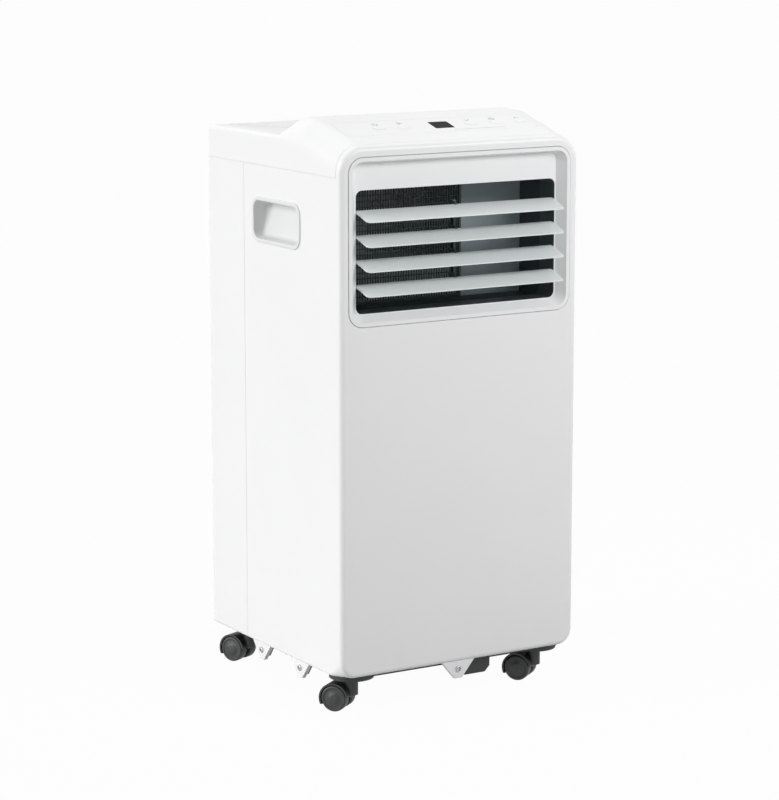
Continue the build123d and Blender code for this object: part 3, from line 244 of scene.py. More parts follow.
casing_abs = moulded("moulded_abs_casing", "#f0f0f0", "#ececed", 0.42, 1.5, 0.03)
bezel_abs = moulded("moulded_abs_bezel", "#eff0f0", "#ecedee", 0.36, 1.5, 0.02)
grip_abs = moulded("moulded_abs_grip", "#e2e3e3", "#dddfdf", 0.40, 1.4, 0.02)
louvre_abs = moulded("moulded_abs_louvre", "#e5eaea", "#e1e6e7", 0.38, 1.2, 0.02)
# The dark frame finish is the louvre frame's own grey, and on the louvre cranks it is painted
# shade.
frame_and_crank_shade_abs = moulded("moulded_abs_frame_and_crank_shade", "#4c5557", "#464f51", 0.42, 1.2, 0.02)
guard_pp = moulded("moulded_pp_guard", "#272f33", "#22292d", 0.45, 1.2, 0.02)
pan_pp = moulded("moulded_pp_pan", "#1b1d1e", "#151718", 0.50, 1.6, 0.05)
fan_pp = moulded("moulded_pp_fan", "#7d868b", "#737c81", 0.42, 1.5, 0.02)
caster_nylon = moulded("moulded_nylon_caster", "#222324", "#272829", 0.46, 1.3, 0.04)
wheel_nylon = moulded("moulded_nylon_wheel", "#292a2b", "#303132", 0.50, 1.0, 0.05, patch=8.0)
print("moulded plastics:", sum(m.name.startswith("moulded") for m in bpy.data.materials))

# %% [markdown]
# ## Foam, rubber, ink and acrylic
# Ducts and blower housings of such units are expanded polystyrene, whose beads of about 4 mm
# stay visible as flat cells with fine joints. Drain plug and cord gland are soft rubber. The
# display sits behind a smoked acrylic window with a film against glare, and the marks beside it
# are screen printed.

# %% Foam finish
BEAD, BEAD_LINE = 4.0, 0.12  # mm, and the line as a share of a bead
FOAM_ROUGH, FOAM_BUMP, FOAM_DEEP = 0.7, 0.5, 0.1 * MM
WALL_FADE = 0.2 * MM


def foam(name, colour, joint, wall=None, wall_colour=None):
    """Voronoi cells one bead wide, darker where two meet, and another tone behind a wall."""
    material, tree, place = blank(name)
    cells = {"Vector": place, "Scale": 1 / (BEAD * MM)}
    edge = add(tree, "TexVoronoi", cells, feature="DISTANCE_TO_EDGE")
    line = add(tree, "MapRange", {"Value": edge.outputs["Distance"], "From Max": BEAD_LINE})
    tone = blend(tree, line.outputs[0], linear(joint), linear(colour))
    if wall is not None:
        depth = {"Value": add(tree, "SeparateXYZ", {0: place}).outputs["Y"]}
        depth |= {"From Min": wall - 2 * WALL_FADE, "From Max": wall - WALL_FADE}
        behind = add(tree, "MapRange", depth)
        tone = blend(tree, behind.outputs[0], tone, linear(wall_colour))
    relief = {"Height": line.outputs[0], "Strength": FOAM_BUMP, "Distance": FOAM_DEEP}
    relief = add(tree, "Bump", relief)
    shader = {"Base Color": tone, "Roughness": FOAM_ROUGH, "Normal": relief.outputs[0]}
    surface_of(tree, add(tree, "BsdfPrincipled", shader))
    return material


outlet_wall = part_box("outlet_guard")[1].y
duct_foam = foam("expanded_foam_duct", "#3c464b", "#30393d")
outlet_foam = foam("expanded_foam_outlet", "#454f54", "#3a4347", outlet_wall, "#98a5a9")
housing_foam = foam("expanded_foam_housing", "#eef1f2", "#dfe4e6")
print("foams: 3, outlet wall at", round(outlet_wall, 4))

# %% Rubber, ink, acrylic and circuit board
HAZE, HAZE_LEAST, HAZE_MOST = 6 * MM, 0.06, 0.12
NO_GLARE = 0.01
TRACK, TRACK_JITTER, TRACK_EDGE = 5 * MM, 0.6, 0.10
rubber = moulded("moulded_rubber", "#1c1c1d", "#222223", 0.68, 0.8, 0.03, ior=1.52)
ink = moulded("screen_printed_ink", "#8f979b", "#899195", 0.55, 0.5, 0.004)

acrylic, tree, place = blank("smoked_acrylic_window")
film = add(tree, "TexNoise", {"Vector": place, "Scale": 1 / HAZE, "Detail": 1.0})
haze = {"Value": film.outputs[0], "To Min": HAZE_LEAST, "To Max": HAZE_MOST}
haze = add(tree, "MapRange", haze)
shader = {"Base Color": linear("#0b0c0d"), "Roughness": haze.outputs[0], "IOR": 1.49}
shader["Specular IOR Level"] = NO_GLARE
surface_of(tree, add(tree, "BsdfPrincipled", shader))

board, tree, place = blank("solder_mask_board")
tracks = {"Vector": place, "Scale": 1 / TRACK, "Randomness": TRACK_JITTER}
tracks = add(tree, "TexVoronoi", tracks, distance="MANHATTAN", feature="DISTANCE_TO_EDGE")
mask = add(tree, "MapRange", {"Value": tracks.outputs["Distance"], "From Max": TRACK_EDGE})
tone = blend(tree, mask.outputs[0], linear("#3f8a55"), linear("#1d5a35"))
surface_of(tree, add(tree, "BsdfPrincipled", {"Base Color": tone, "Roughness": 0.35}))
print("rubber, ink, acrylic and board")

# %% [markdown]
# ## Metals and enamel
# Inside such a unit are a black enamelled compressor, drawn copper pipes, rolled aluminium
# coils and zinc plated steel. Rolling and drawing leave fine lines along one axis: the same
# noise, stretched by a Mapping node, gives them to colour, gloss and bump alike.

# %% Metal finish
LINE_DETAIL, LINE_GLOSS, LINE_BUMP, LINE_DEEP = 3.0, 0.08, 0.4, 0.01 * MM


def metal(name, colour, second, rough, line, stretch):
    """Bare metal with fine lines: noise one line wide in mm, stretched along each axis."""
    material, tree, place = blank(name)
    drawn = add(tree, "Mapping", {"Vector": place, "Scale": stretch})
    marks = {"Vector": drawn.outputs[0], "Scale": 1 / (line * MM), "Detail": LINE_DETAIL}
    marks = add(tree, "TexNoise", marks)
    tone = blend(tree, marks.outputs[0], linear(colour), linear(second))
    gloss = {"To Min": rough - LINE_GLOSS, "To Max": rough + LINE_GLOSS}
    gloss = add(tree, "MapRange", gloss | {"Value": marks.outputs[0]})
    relief = {"Height": marks.outputs[0], "Strength": LINE_BUMP, "Distance": LINE_DEEP}
    relief = add(tree, "Bump", relief)
    shader = {"Base Color": tone, "Metallic": 1.0, "Roughness": gloss.outputs[0]}
    shader["Normal"] = relief.outputs[0]
    surface_of(tree, add(tree, "BsdfPrincipled", shader))
    return material


fin_aluminium = metal("rolled_aluminium_fins", "#c9cdd0", "#b4b9bd", 0.36, 1.2, (1, 1, 0.08))
pipe_copper = metal("drawn_copper_pipe", "#c67f56", "#9f5f3f", 0.30, 3.0, (1, 1, 0.3))
zinc_steel = metal("zinc_plated_steel", "#b9bdc2", "#a2a7ad", 0.32, 0.8, (1, 1, 1))
pot_enamel = moulded("baked_enamel_pot", "#141516", "#1a1b1c", 0.28, 2.4, 0.05)
print("metals and enamel")

# %% [markdown]
# ## Finishes of the frame's own pieces
# Most rigid shapes in the frame are already right, so they stay and only get their finish.
# One table says which finish each kind of piece has. Names are matched from the start, so the
# nylon pieces of all casters need one line. Only their axles are steel.

# %% Give each node its finish
FINISHES = {
    "front_casing": casing_abs, "rear_cover": casing_abs, "top_cover": casing_abs,
    "filter_door": casing_abs, "control_panel": casing_abs, "exhaust_collar": casing_abs,
    "grip": grip_abs, "outlet_bezel": bezel_abs, "key": bezel_abs,
    "louvre": louvre_abs, "louvre_frame": frame_and_crank_shade_abs, "louvre_link": guard_pp,
    "outlet_guard": guard_pp, "air_filter": guard_pp, "air_duct": outlet_foam,
    "upper_volute": housing_foam, "lower_volute": duct_foam, "exhaust_duct": duct_foam,
    "display_window": acrylic, "control_board": board, "control_box": pan_pp,
    "base_pan": pan_pp, "drip_tray": pan_pp, "drain_plug": rubber, "cord_gland": rubber,
    "evaporator": fin_aluminium, "condenser": fin_aluminium,
    "refrigerant_pipes": pipe_copper, "compressor": pot_enamel,
    "upper_motor": pot_enamel, "lower_motor": pot_enamel,
    "upper_wheel": fan_pp, "lower_wheel": fan_pp,
    "upper_shaft": zinc_steel, "lower_shaft": zinc_steel, "casing_screws": zinc_steel,
    "caster": caster_nylon,
}


def finish_of(node):
    """The finish whose name is the longest start of the node's name."""
    return FINISHES[max((key for key in FINISHES if node.startswith(key)), key=len)]


for name, cad in frame["nodes"].items():
    finish = zinc_steel if name.endswith("axle") else finish_of(name)
    cad.data.materials.clear()
    cad.data.materials.append(finish)
print("finished nodes:", len(frame["nodes"]))

# %% [markdown]
# ## Shapes from grids of points
# What follows adds the pieces that a solid model leaves plain. Each is a surface worked out with
# numpy: rows of points, of which the columns run once round the shape. A modeller could push
# vertices by hand, but a formula keeps the sizes true and closes every seam by itself.


# %% Helpers for surfaces
def unit(vector):
    """The vector at length one."""
    return np.array(vector, float) / np.linalg.norm(vector)


def circle(steps):
    """Angles at equal steps once round."""
    return np.arange(steps) * 2 * pi / steps


def grid_faces(rows, steps):
    """Faces of a grid of points: each joins two neighbours of a row to the two in the next row."""
    row, step = np.meshgrid(np.arange(rows - 1), np.arange(steps), indexing="ij")
    beside = (step + 1) % steps
    corners = (row, step), (row, beside), (row + 1, beside), (row + 1, step)
    return np.stack([r * steps + s for r, s in corners], axis=-1).reshape(-1, 4)


def joined(*shapes):
    """Several shapes as one: the faces of each count on from the points of those before it."""
    points = [np.reshape(shape[0], (-1, 3)) for shape in shapes]
    starts = np.cumsum([0] + [len(p) for p in points[:-1]])
    faces = [shape[1] + start for shape, start in zip(shapes, starts)]
    return np.vstack(points), np.vstack(faces)


print("a grid of 3 rows and 8 steps has", len(grid_faces(3, 8)), "faces")

# %% Turned shapes and bars
BOX_CORNERS = np.array([(0, 0, 0), (1, 0, 0), (1, 1, 0), (0, 1, 0),
                        (0, 0, 1), (1, 0, 1), (1, 1, 1), (0, 1, 1)])
BOX_FACES = np.array([(0, 3, 2, 1), (4, 5, 6, 7), (0, 1, 5, 4),
                      (1, 2, 6, 5), (2, 3, 7, 6), (3, 0, 4, 7)])


def turned(profile, centre, axis, steps):
    """A turned shape: each pair of radius and distance is carried once round the axis."""
    axis = unit(axis)
    side = unit(np.cross(axis, (0, 0, 1)))
    angle = circle(steps)
    ring = np.outer(np.cos(angle), side) + np.outer(np.sin(angle), np.cross(axis, side))
    radius, along = np.array(profile, float).T
    points = np.array(centre) + along[:, None, None] * axis + radius[:, None, None] * ring
    return points, grid_faces(len(profile), steps)


def bars(low, high):
    """Straight bars: every bar is the box between its lowest and its highest corner."""
    low, high = np.broadcast_arrays(np.atleast_2d(low), np.atleast_2d(high))
    points = low[:, None] + BOX_CORNERS * (high - low)[:, None]
    starts = len(BOX_CORNERS) * np.arange(len(low))
    return points, (BOX_FACES + starts[:, None, None]).reshape(-1, 4)


print("a bar has", len(BOX_CORNERS), "corners and", len(BOX_FACES), "faces")

# %% From a shape to a piece
MERGE, FLAT, SHARP = 1e-6, 1e-7, radians(40)


def piece(name, shape, finish, body, slot, *nodes):
    """Puts a shape into a mesh, merges its poles, finishes it and lets it ride on a body."""
    mesh = bpy.data.meshes.new(name)
    mesh.from_pydata(np.reshape(shape[0], (-1, 3)).tolist(), [], shape[1].tolist())
    work = bmesh.new()
    work.from_mesh(mesh)
    bmesh.ops.remove_doubles(work, verts=work.verts, dist=MERGE)
    bmesh.ops.dissolve_degenerate(work, edges=work.edges, dist=FLAT)
    bmesh.ops.recalc_face_normals(work, faces=work.faces)
    work.to_mesh(mesh)
    work.free()
    mesh.materials.append(finish)
    mesh.shade_smooth()
    mesh.set_sharp_from_angle(angle=SHARP)
    made = bpy.data.objects.new(name, mesh)
    scene.collection.objects.link(made)
    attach(made, body)
    if nodes:
        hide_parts(*nodes)


joints = {joint["name"]: joint for joint in frame["joints"]}
casing_low, casing_high = (np.array(corner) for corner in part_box("front_casing"))
rear_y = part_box("rear_cover")[1].y
print("casing front at", round(casing_low[1], 4), "rear at", round(rear_y, 4))

# %% [markdown]
# ## Caster wheels
# A twin-wheel caster has two nylon wheels with a round-shouldered tread and a dished outer face
# with a hub cap. The solid model has plain bevelled discs. A wheel is a turned part, so one
# profile of radius against width is carried round the axle, which closes both faces at the
# middle.

# %% Caster wheels
BORE, BORE_END, SHOULDER = 3.05 * MM, 1.6 * MM, 2.2 * MM
INNER_SHARE, INNER_DIP = 0.60, 0.5 * MM
DISH = (0.80, 0.1 * MM), (0.76, 0.9 * MM), (0.40, 1.1 * MM)  # share of the radius and depth
CAP_SHARE, CAP_DIP, CAP_ROUND = 0.34, 0.2 * MM, 6.0
WHEEL_STEPS = 48


def wheel_profile(radius, width):
    """Bore, inner face, tread with quarter-round shoulders, dished outer face, domed hub cap."""
    swing = np.linspace(0, pi / 2, 6)
    round_r = radius - SHOULDER * (1 - np.sin(swing))
    inner = np.column_stack([round_r, SHOULDER * (1 - np.cos(swing))])
    outer = np.column_stack([round_r, width - SHOULDER * (1 - np.cos(swing))])[::-1]
    cap = np.linspace(CAP_SHARE, 0.0, 5) * radius
    dome = np.column_stack([cap, width - CAP_DIP - CAP_ROUND * cap ** 2])
    end = width - BORE_END
    start = [(0, end), (BORE, end), (BORE, 0), (INNER_SHARE * radius, INNER_DIP)]
    dish = [(share * radius, width - dip) for share, dip in DISH]
    return np.vstack([start, inner, outer, dish, dome])


for corner in ("fl", "fr", "rl", "rr"):
    for twin, way in (("a", 1), ("b", -1)):
        node = f"caster_{corner}_wheel_{twin}"
        joint = joints[f"caster_{corner}_roll_{twin}"]
        hub = np.array(joint["pos_m"])
        axle = way * unit(joint["axis"])
        vertices = frame["nodes"][node].data.vertices
        flat = np.empty(3 * len(vertices))
        vertices.foreach_get("co", flat)
        along = (flat.reshape(-1, 3) - hub) @ axle
        profile = wheel_profile(hub[2], np.ptp(along))
        shape = turned(profile, hub + along.min() * axle, axle, WHEEL_STEPS)
        piece(f"nylon_wheel_{corner}_{twin}", shape, wheel_nylon, node, "caster_grey", node)
print("caster wheels: 8, radius", round(hub[2] * 1000, 1), "mm")

# %% [markdown]
# ## Louvres
# Each louvre is a thin moulded blade, thicker at its pivot, a little crowned and with rounded
# front corners, and a crank behind it takes the bar that ties all four together. The real crank
# is moulded with its blade in the same pale plastic. Here it is coloured dark as painted shade,
# since it lies in shade behind the blades. The blade is a section carried along the width:
# near each end its tip draws back on a quarter circle and its thickness closes on a half round,
# so that the ends need no caps.

# %% Louvre blade
TILT = radians(18.5)
BLADE_ROOT, BLADE_TIP, BLADE_CROWN = 1.8 * MM, 1.0 * MM, 0.5 * MM
BLADE_CORNER, BLADE_END = 6.0 * MM, 1.2 * MM
BLADE_ROWS, BLADE_STEPS, BLADE_FULLNESS = 71, 32, 0.4
PIVOT_BEYOND = 4.4 * MM
FORWARD = np.array((0, -cos(TILT), -sin(TILT)))
UPWARD = np.array((0, -sin(TILT), cos(TILT)))
ACROSS = np.array((1.0, 0, 0))


def blade(pivot, half, chord):
    """Points are pivot + x across + q forward + h up, with q a cosine run from root to tip."""
    x = half * np.sin(np.linspace(-pi / 2, pi / 2, BLADE_ROWS))
    near = np.clip(abs(x) - half + BLADE_CORNER, 0, BLADE_CORNER)
    reach = chord - BLADE_CORNER + np.sqrt(BLADE_CORNER ** 2 - near ** 2)
    end = np.clip((abs(x) - half + BLADE_END) / BLADE_END, 0, 1)
    thin = np.sqrt(1 - end ** 2)
    turn = circle(BLADE_STEPS)
    share = (1 - np.cos(turn)) / 2
    q = -BLADE_ROOT + np.outer(reach + BLADE_ROOT, share)
    half_t = BLADE_ROOT + (BLADE_TIP - BLADE_ROOT) * share
    half_t = half_t * np.sign(np.sin(turn)) * abs(np.sin(turn)) ** BLADE_FULLNESS
    crown = BLADE_CROWN * np.sin(pi * share)
    h = np.outer(thin, half_t) + crown
    points = pivot + x[:, None, None] * ACROSS + q[..., None] * FORWARD + h[..., None] * UPWARD
    return points, grid_faces(len(x), len(turn))


print("a blade has", BLADE_ROWS, "sections of", BLADE_STEPS, "points")

# %% Louvre crank
CRANK, CRANK_R, CRANK_T, PIN_R = 11.0 * MM, 3.0 * MM, 3.0 * MM, 1.5 * MM
PIN_SPARE, PIVOT_ROOT = 0.6 * MM, 1.0 * MM
CRANK_STEPS, PIN_STEPS = 32, 16


def crank(pivot, pin_end, half):
    """An arm with round ends as one outline at two widths, with its pin and the end pivots."""
    turn = circle(CRANK_STEPS)
    along = np.where(np.cos(turn) > 0, 0, CRANK) - CRANK_R * np.cos(turn)
    arm = along[:, None] * -FORWARD + (CRANK_R * np.sin(turn))[:, None] * UPWARD
    middle = np.broadcast_to(-CRANK / 2 * FORWARD, arm.shape)
    side = CRANK_T / 2 * ACROSS
    rows = np.array([middle - side, arm - side, arm + side, middle + side])
    plate = pivot + rows, grid_faces(len(rows), CRANK_STEPS)
    rod = np.array([(0, 0), (PIN_R, 0), (PIN_R, 1), (0, 1)])
    pin = turned(rod * (1, pin_end), pivot - CRANK * FORWARD, ACROSS, PIN_STEPS)
    stub = rod * (1, PIVOT_BEYOND + PIVOT_ROOT)
    root = (half - PIVOT_ROOT) * ACROSS
    ends = [turned(stub, pivot + way * root, way * ACROSS, PIN_STEPS) for way in (-1, 1)]
    return joined(plate, pin, *ends)


print("a crank is", round(CRANK * 1000, 1), "mm long")

# %% Four louvres
link_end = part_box("louvre_link")[1].x + PIN_SPARE
for number in range(1, 5):
    node = f"louvre_{number}"
    pivot = np.array(joints[f"louvre_tilt_{number}"]["pos_m"])
    low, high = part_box(node)
    half = high.x - PIVOT_BEYOND
    chord = (pivot[1] - low.y) / cos(TILT) - BLADE_TIP * (1 / cos(TILT) - 1)
    shape = blade(pivot, half, chord)
    piece(f"louvre_blade_{number}", shape, louvre_abs, node, "louvre_grey", node)
    shape = crank(pivot, link_end, half)
    # The crank's dark finish is painted shade: the real crank is as pale as its blade.
    piece(f"louvre_crank_{number}", shape, frame_and_crank_shade_abs, node, "dark_plastic")
print("louvres: 4, chord", round(chord * 1000, 1), "mm")

# %% [markdown]
# ## Hand grips
# A hand grip is one moulded cup with a raised rim, a rounded lip, steep walls and a floor that
# leans in at the top. The solid model has sharp corners where the mould has soft ones. The cup
# is a rounded rectangle that shrinks row by row while it sinks into the side: first the back,
# from its middle out to the rim, then the inside, from the rim to the middle of the floor.

# %% Hand grips
GRIP_R, GRIP_RIM, GRIP_SKIN, GRIP_DEEP = 13 * MM, 3.2 * MM, 2.0 * MM, 15.8 * MM
GRIP_BACK, GRIP_DRAFT, GRIP_LEAN, SHOULDER_DEEP = 1.2 * MM, 1.5 * MM, radians(13), 5.2 * MM
RIM_ROUND, LIP_ROUND, FLOOR_ROUND = 1.2 * MM, 1.4 * MM, 5 * MM
FLOOR_SCALES = (0.7, 0.4, 0)


def rounded(half_w, half_h, corner):
    """Points once round a rectangle whose corners are quarter circles."""
    angle = np.arange(4)[:, None] * pi / 2 + np.linspace(0, pi / 2, 9)
    middle = np.array([(1, 1), (-1, 1), (-1, -1), (1, -1)]) * (half_w - corner, half_h - corner)
    ring = corner * np.stack([np.cos(angle), np.sin(angle)], axis=-1)
    return (middle[:, None] + ring).reshape(-1, 2)


def columns(*parts):
    """Runs of numbers side by side, where one number may stand for a whole run."""
    return np.column_stack(np.broadcast_arrays(*parts))


def grip_rows(proud):
    """Shrink of the outline, depth in the side, share of the floor's lean and scale, by row."""
    swing = np.linspace(0, pi / 2, 6)
    start, stop = 1 - np.cos(swing), 1 - np.sin(swing)
    wall = GRIP_SKIN + GRIP_DRAFT
    back = GRIP_DEEP + GRIP_BACK
    rows = [(GRIP_DRAFT, back, 1, 0), (GRIP_DRAFT, back, 1, 1)]
    rows += [(0, SHOULDER_DEEP, 0, 1), (0, 0, 0, 1)]
    edge = columns(-GRIP_RIM + RIM_ROUND * start, -proud * np.sin(swing), 0, 1)
    lip = columns(GRIP_SKIN - LIP_ROUND * stop, LIP_ROUND * start - proud, 0, 1)
    foot = columns(wall + FLOOR_ROUND * start, GRIP_DEEP - FLOOR_ROUND * stop, 1, 1)
    floor = columns(wall + FLOOR_ROUND, GRIP_DEEP, 1, FLOOR_SCALES)
    return np.vstack([rows, edge, lip, foot, floor])


def grip(node, way):
    """Each row is the outline at its shrink and scale, at its depth plus lean times height."""
    low, high = (np.array(corner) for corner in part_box(node))
    middle = (low + high) / 2
    half_w, half_h = (high - low)[1:] / 2 - GRIP_RIM
    face = casing_high[0]
    proud = max(abs(low[0]), abs(high[0])) - face
    rows = []
    for shrink, depth, lean, scale in grip_rows(proud):
        flat = scale * rounded(half_w - shrink, half_h - shrink, GRIP_R - shrink)
        x = way * (face - depth - lean * np.tan(GRIP_LEAN) * flat[:, 1])
        rows.append(np.column_stack([x, middle[1] + flat[:, 0], middle[2] + flat[:, 1]]))
    return np.array(rows), grid_faces(len(rows), len(rows[0]))


for side, way in (("left", -1), ("right", 1)):
    node = f"grip_{side}"
    piece(f"grip_cup_{side}", grip(node, way), grip_abs, "cabinet", "casing_white", node)
print("hand grips: 2, floor", round(GRIP_DEEP * 1000, 1), "mm deep")

# %% [markdown]
# ## Joint of the top cover
# Where the top cover meets the casing, a tongue stands close behind the joint, so that the eye
# finds a shallow groove and not a dark slit. Three bars fill the joint to just under the surface.

# %% Joint of the top cover
JOINT_GAP, JOINT_DEEP, JOINT_BAR = 0.5 * MM, 1.0 * MM, 2.0 * MM
JOINT_END, JOINT_START = 6.0 * MM, 11 * MM
top_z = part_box("rear_cover")[1].z
cover_z = top_z + JOINT_GAP
outer = casing_high[0] - JOINT_DEEP
front_y, back_y = casing_low[1] + JOINT_START, rear_y - JOINT_END
lows = [(-outer, front_y, top_z), (outer - JOINT_BAR, front_y, top_z)]
highs = [(-outer + JOINT_BAR, back_y, cover_z), (outer, back_y, cover_z)]
lows.append((-outer + JOINT_END, rear_y - JOINT_DEEP - JOINT_BAR, top_z))
highs.append((outer - JOINT_END, rear_y - JOINT_DEEP, cover_z))
piece("cover_joint", bars(lows, highs), casing_abs, "cabinet", "casing_white")
print("joint at", round(top_z * 1000, 2), "mm")

# %% [markdown]
# ## Outlet guard
# Behind the louvres a fine net keeps fingers from the blower. The solid model has a coarse grid.
# The net is two sets of thin bars inside a rim, each set worked out at once from its spacing.

# %% Outlet guard
NET_PITCH, NET_ROWS, NET_WIRE, NET_RIM = 3.6 * MM, 7.2 * MM, 0.9 * MM, 3.0 * MM
NET_FRONT, NET_BACK = 0.4 * MM, 2.0 * MM


def steps_between(low, high, pitch):
    """Places at equal steps near the pitch, without the two ends."""
    return np.linspace(low, high, int(round((high - low) / pitch)) + 1)[1:-1]


def net(low, high, pitch_x, pitch_z, wire, front, back):
    """Bars at equal steps across and up, the upright ones in front, between two corners."""
    x = steps_between(low[0], high[0], pitch_x)
    z = steps_between(low[2], high[2], pitch_z)
    half = wire / 2
    uprights = columns(x - half, front, low[2]), columns(x + half, front + wire, high[2])
    levels = columns(low[0], back - wire, z - half), columns(high[0], back, z + half)
    return bars(*uprights), bars(*levels)


def rim(low, high, wide):
    """Four bars round the edge of an upright box."""
    x0, y0, z0 = low
    x1, y1, z1 = high
    lows = [(x0, y0, z0), (x0, y0, z1 - wide), (x0, y0, z0 + wide), (x1 - wide, y0, z0 + wide)]
    highs = [(x1, y1, z0 + wide), (x1, y1, z1), (x0 + wide, y1, z1 - wide), (x1, y1, z1 - wide)]
    return bars(lows, highs)


low, high = (np.array(corner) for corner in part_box("outlet_guard"))
inset = np.array((NET_RIM, 0, NET_RIM)) / 2
front, back = low[1] + NET_FRONT, low[1] + NET_BACK
wires = net(low + inset, high - inset, NET_PITCH, NET_ROWS, NET_WIRE, front, back)
guard = joined(rim(low, high, NET_RIM), *wires)
piece("outlet_net", guard, guard_pp, "cabinet", "dark_plastic", "outlet_guard")
print("guard wires:", len(wires[0][0]) + len(wires[1][0]))

# %% [markdown]
# ## Air filter
# The filter is a net of fine threads stretched over a moulded frame with cross bars, and it lies
# against the door. The threads are drawn 2.4 mm apart, about three times the usual spacing, so
# that they still show. It swings with the door.

# %% Air filter
FILTER_BAR, THREAD, THREAD_PITCH = 6.0 * MM, 0.5 * MM, 2.4 * MM
THREAD_FRONT, THREAD_BACK = 2.0 * MM, 3.2 * MM
low, high = (np.array(corner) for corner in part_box("air_filter"))
thirds = np.array((1, 2)) / 3
across = low[0] + (high[0] - low[0]) * thirds
upward = low[2] + (high[2] - low[2]) * thirds
half = FILTER_BAR / 2
posts = bars(columns(across - half, low[1], low[2]), columns(across + half, high[1], high[2]))
rails = bars(columns(low[0], low[1], upward - half), columns(high[0], high[1], upward + half))
front, back = low[1] + THREAD_FRONT, low[1] + THREAD_BACK
threads = net(low, high, THREAD_PITCH, THREAD_PITCH, THREAD, front, back)
screen = joined(rim(low, high, FILTER_BAR), posts, rails, *threads)
piece("filter_net", screen, guard_pp, "door", "dark_plastic", "air_filter")
print("filter threads:", len(threads[0][0]) + len(threads[1][0]))

# %% [markdown]
# ## Coils
# Evaporator and condenser are copper tubes pushed through a pack of thin aluminium fins, with
# return bends at one end. The solid model has a comb-cut block. Fins are bars of sheet at equal
# steps, drawn 2.4 mm apart where real ones stand near 1.5 mm, and a bend is a ring of points
# carried along half an ellipse.

# %% Coils
FIN, FIN_PITCH, END_PLATE, COIL_END = 0.35 * MM, 2.4 * MM, 1.5 * MM, 6 * MM
TUBE_R, TUBE_ROWS, TUBE_STEPS, BEND_FLAT = 4.0 * MM, 6, 16, 0.55


def directions(line):
    """The direction of a line at each of its points, at length one."""
    along = np.gradient(line, axis=0)
    return along / np.linalg.norm(along, axis=1)[:, None]


def tube(path, radius, beside):
    """Rings of points square to a path, one side of every ring in a fixed direction."""
    angle = circle(TUBE_STEPS)[:, None]
    above = np.cross(directions(path), beside)[:, None]
    ring = np.cos(angle) * np.array(beside) + np.sin(angle) * above
    points = path[:, None] + radius * ring
    first, last = (np.broadcast_to(path[i], (1, TUBE_STEPS, 3)) for i in (0, -1))
    rows = np.concatenate([first, points, last])
    return rows, grid_faces(len(rows), TUBE_STEPS)


def hairpin(low, high, middle, step):
    """A tube that comes in at the low end, turns on half an ellipse at the high end and returns."""
    swing = np.linspace(-pi / 2, pi / 2, 13)
    z = middle + step / 2 * np.sin(swing)
    bend = high[0] + step / 2 * BEND_FLAT * np.cos(swing)
    start = [low[0] - COIL_END]
    x = np.concatenate([start, bend, start])
    z = np.concatenate([z[:1], z, z[-1:]])
    return tube(columns(x, (low[1] + high[1]) / 2, z), TUBE_R, (0, 1, 0))


for node in ("evaporator", "condenser"):
    low, high = (np.array(corner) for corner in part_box(node))
    low[0] += COIL_END
    high[0] -= COIL_END
    x = np.arange(low[0] + END_PLATE + FIN_PITCH, high[0] - END_PLATE, FIN_PITCH)
    fins = bars(columns(x, low[1], low[2]), columns(x + FIN, high[1], high[2]))
    x = np.array((low[0], high[0] - END_PLATE))
    plates = bars(columns(x, low[1], low[2]), columns(x + END_PLATE, high[1], high[2]))
    block = joined(fins, plates)
    piece(f"{node}_fins", block, fin_aluminium, "cabinet", "coil_aluminium", node)
    step = (high[2] - low[2]) / TUBE_ROWS
    middles = low[2] + step * np.arange(1, TUBE_ROWS, 2)
    tubes = joined(*(hairpin(low, high, middle, step) for middle in middles))
    piece(f"{node}_tubes", tubes, pipe_copper, "cabinet", "pipe_copper")
print("coils: 2, fins each:", len(fins[0]))

# %% [markdown]
# ## Casing screws
# Every lug is held by a pan-head screw with a cross recess. One grid makes it: rings of points
# from the tip of the shank out to the head and in over its dome, where a cross-shaped dip is
# taken off.

# %% Casing screws
HEAD_R, HEAD_T, SHANK_R, SHANK_L = 3.8 * MM, 2.2 * MM, 2.0 * MM, 9.0 * MM
CROSS_L, CROSS_W, CROSS_DEEP = 2.2 * MM, 0.55 * MM, 1.1 * MM
LUG_SET, LUG_BACKS, REAR_LUG_X = 3 * MM, (105.5 * MM, 201.5 * MM), 70 * MM
CASING_FOOT, SCREW_DROP = 49 * MM, 9 * MM
SCREW_STEPS = 48


def screw(seat, outward):
    """Height over the head is a dome less a cross: the dip lies where either leg is near."""
    shank = [(0, -SHANK_L), (SHANK_R, -SHANK_L), (SHANK_R, 0), (HEAD_R, 0), (HEAD_R, HEAD_T / 2)]
    share = np.linspace(1, 0, 13)[1:]
    dome = columns(HEAD_R * share, HEAD_T / 2 * (1 + np.sqrt(1 - share ** 2)))
    radius, height = np.vstack([shank, dome]).T[..., None]
    angle = circle(SCREW_STEPS)
    u, v = radius * np.cos(angle), radius * np.sin(angle)
    cross = (np.minimum(abs(u), abs(v)) < CROSS_W) & (np.maximum(abs(u), abs(v)) < CROSS_L)
    on_dome = np.arange(len(radius))[:, None] >= len(shank)
    out = height - CROSS_DEEP * (cross & on_dome)
    side = unit(np.cross(outward, (0, 0, 1)))
    head = u[..., None] * side + v[..., None] * np.array((0, 0, 1.0))
    points = seat + head + out[..., None] * outward
    return points, grid_faces(len(radius), SCREW_STEPS)


screw_z = CASING_FOOT - SCREW_DROP
side_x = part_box("front_casing")[1].x - LUG_SET
seats = [((0, casing_low[1] + LUG_SET, screw_z), (0, -1, 0))]
for y in casing_low[1] + np.array(LUG_BACKS):
    seats += [((way * side_x, y, screw_z), (way, 0, 0)) for way in (-1, 1)]
seats += [((x, rear_y - LUG_SET, screw_z), (0, 1, 0)) for x in (-REAR_LUG_X, REAR_LUG_X)]
screws = joined(*(screw(np.array(seat), np.array(outward, float)) for seat, outward in seats))
piece("casing_screw_heads", screws, zinc_steel, "cabinet", "steel", "casing_screws")
print("screws:", len(seats))

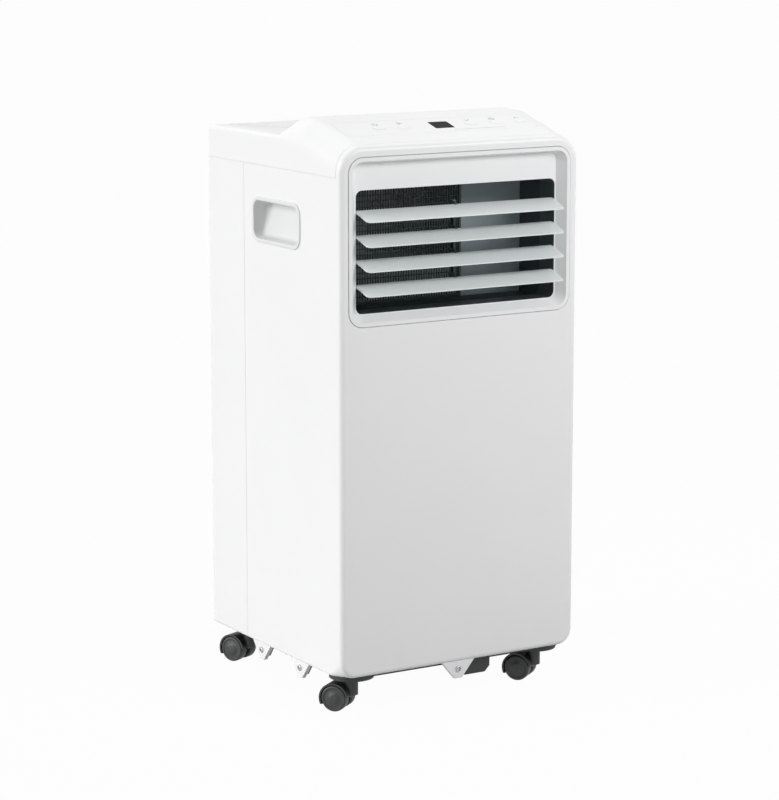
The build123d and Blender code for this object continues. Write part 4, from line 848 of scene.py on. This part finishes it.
# %% [markdown]
# ## Printed marks
# Beside the keys the panel carries small plain signs, screen printed in grey: an on-off ring, a
# fan, arrows and a clock. Ink is a film of a few hundredths of a millimetre, so each stroke is a
# thin strip that follows its line on the slope of the panel.

# %% Strokes of ink
INK_T, STROKE = 0.06 * MM, 0.8 * MM
SLOPE = radians(15.46)
PANEL_BACK, PANEL_Z = 58 * MM, 692.04 * MM
PANEL_MID = np.array((0, casing_low[1] + PANEL_BACK, PANEL_Z))
PANEL_UP = np.array((0, cos(SLOPE), sin(SLOPE)))
PANEL_OUT = np.array((0, -sin(SLOPE), cos(SLOPE)))


def stroke(line, width=STROKE):
    """A strip: at each point of a flat line two points left and two right, at two heights."""
    along = directions(line)
    left = np.column_stack([-along[:, 1], along[:, 0]]) * width / 2
    flat = np.stack([line - left, line + left, line + left, line - left], axis=1)
    first, last = (np.broadcast_to(line[i], (1, 4, 2)) for i in (0, -1))
    flat = np.concatenate([first, flat, last])
    lift = np.array((0, 0, INK_T, INK_T))[:, None] * PANEL_OUT
    points = PANEL_MID + flat[..., :1] * ACROSS + flat[..., 1:] * PANEL_UP + lift
    return points, grid_faces(len(flat), 4)


def arc(x, v, radius, start, end, steps=24):
    """Points on part of a circle, its angles in degrees from the right."""
    angle = np.radians(np.linspace(start, end, steps))
    return np.column_stack([x + radius * np.cos(angle), v + radius * np.sin(angle)])


def run(*points):
    """A line through corners, with a few points between each two."""
    points = np.array(points, float)
    at = np.linspace(0, len(points) - 1, 4 * (len(points) - 1) + 1)
    return np.column_stack([np.interp(at, np.arange(len(points)), axis) for axis in points.T])


print("ink stands", round(INK_T * 1000, 2), "mm proud of the panel")

# %% Printed marks
SIGN, SIGN_V = 3.4 * MM, 11.0 * MM
RULE_LEFT, RULE_RIGHT, RULE_V, RULE_W = 15 * MM, 88 * MM, -17 * MM, 0.4 * MM


def key_x(number):
    """Middle of one key across the panel."""
    low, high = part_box(f"key_{number}")
    return (low.x + high.x) / 2


def angular(x, *corners):
    """A stroke through corners that are given in shares of the sign's size."""
    return stroke(run(*((x + u * SIGN, SIGN_V + v * SIGN) for u, v in corners)))


on_x, fan_x, down_x, clock_x, up_x = (key_x(number) for number in range(1, 6))
marks = [stroke(arc(on_x, SIGN_V, SIGN, 130, 410)), angular(on_x, (0, 0.3), (0, 1.4))]
for turn in (90, 210, 330):
    x, v = fan_x + SIGN / 2 * cos(radians(turn)), SIGN_V + SIGN / 2 * sin(radians(turn))
    marks.append(stroke(arc(x, v, SIGN / 2, turn, turn + 200)))
for x, way in ((down_x, -1), (up_x, 1)):
    marks.append(angular(x, (-1, -way / 2), (0, way / 2), (1, -way / 2)))
marks.append(stroke(arc(clock_x, SIGN_V, SIGN, 0, 360, 32)))
marks.append(angular(clock_x, (0, 0.7), (0, 0), (0.6, 0)))
marks.append(stroke(run((RULE_LEFT, RULE_V), (RULE_RIGHT, RULE_V)), RULE_W))
piece("printed_marks", joined(*marks), ink, "cabinet", "duct_grey")
print("printed strokes:", len(marks))
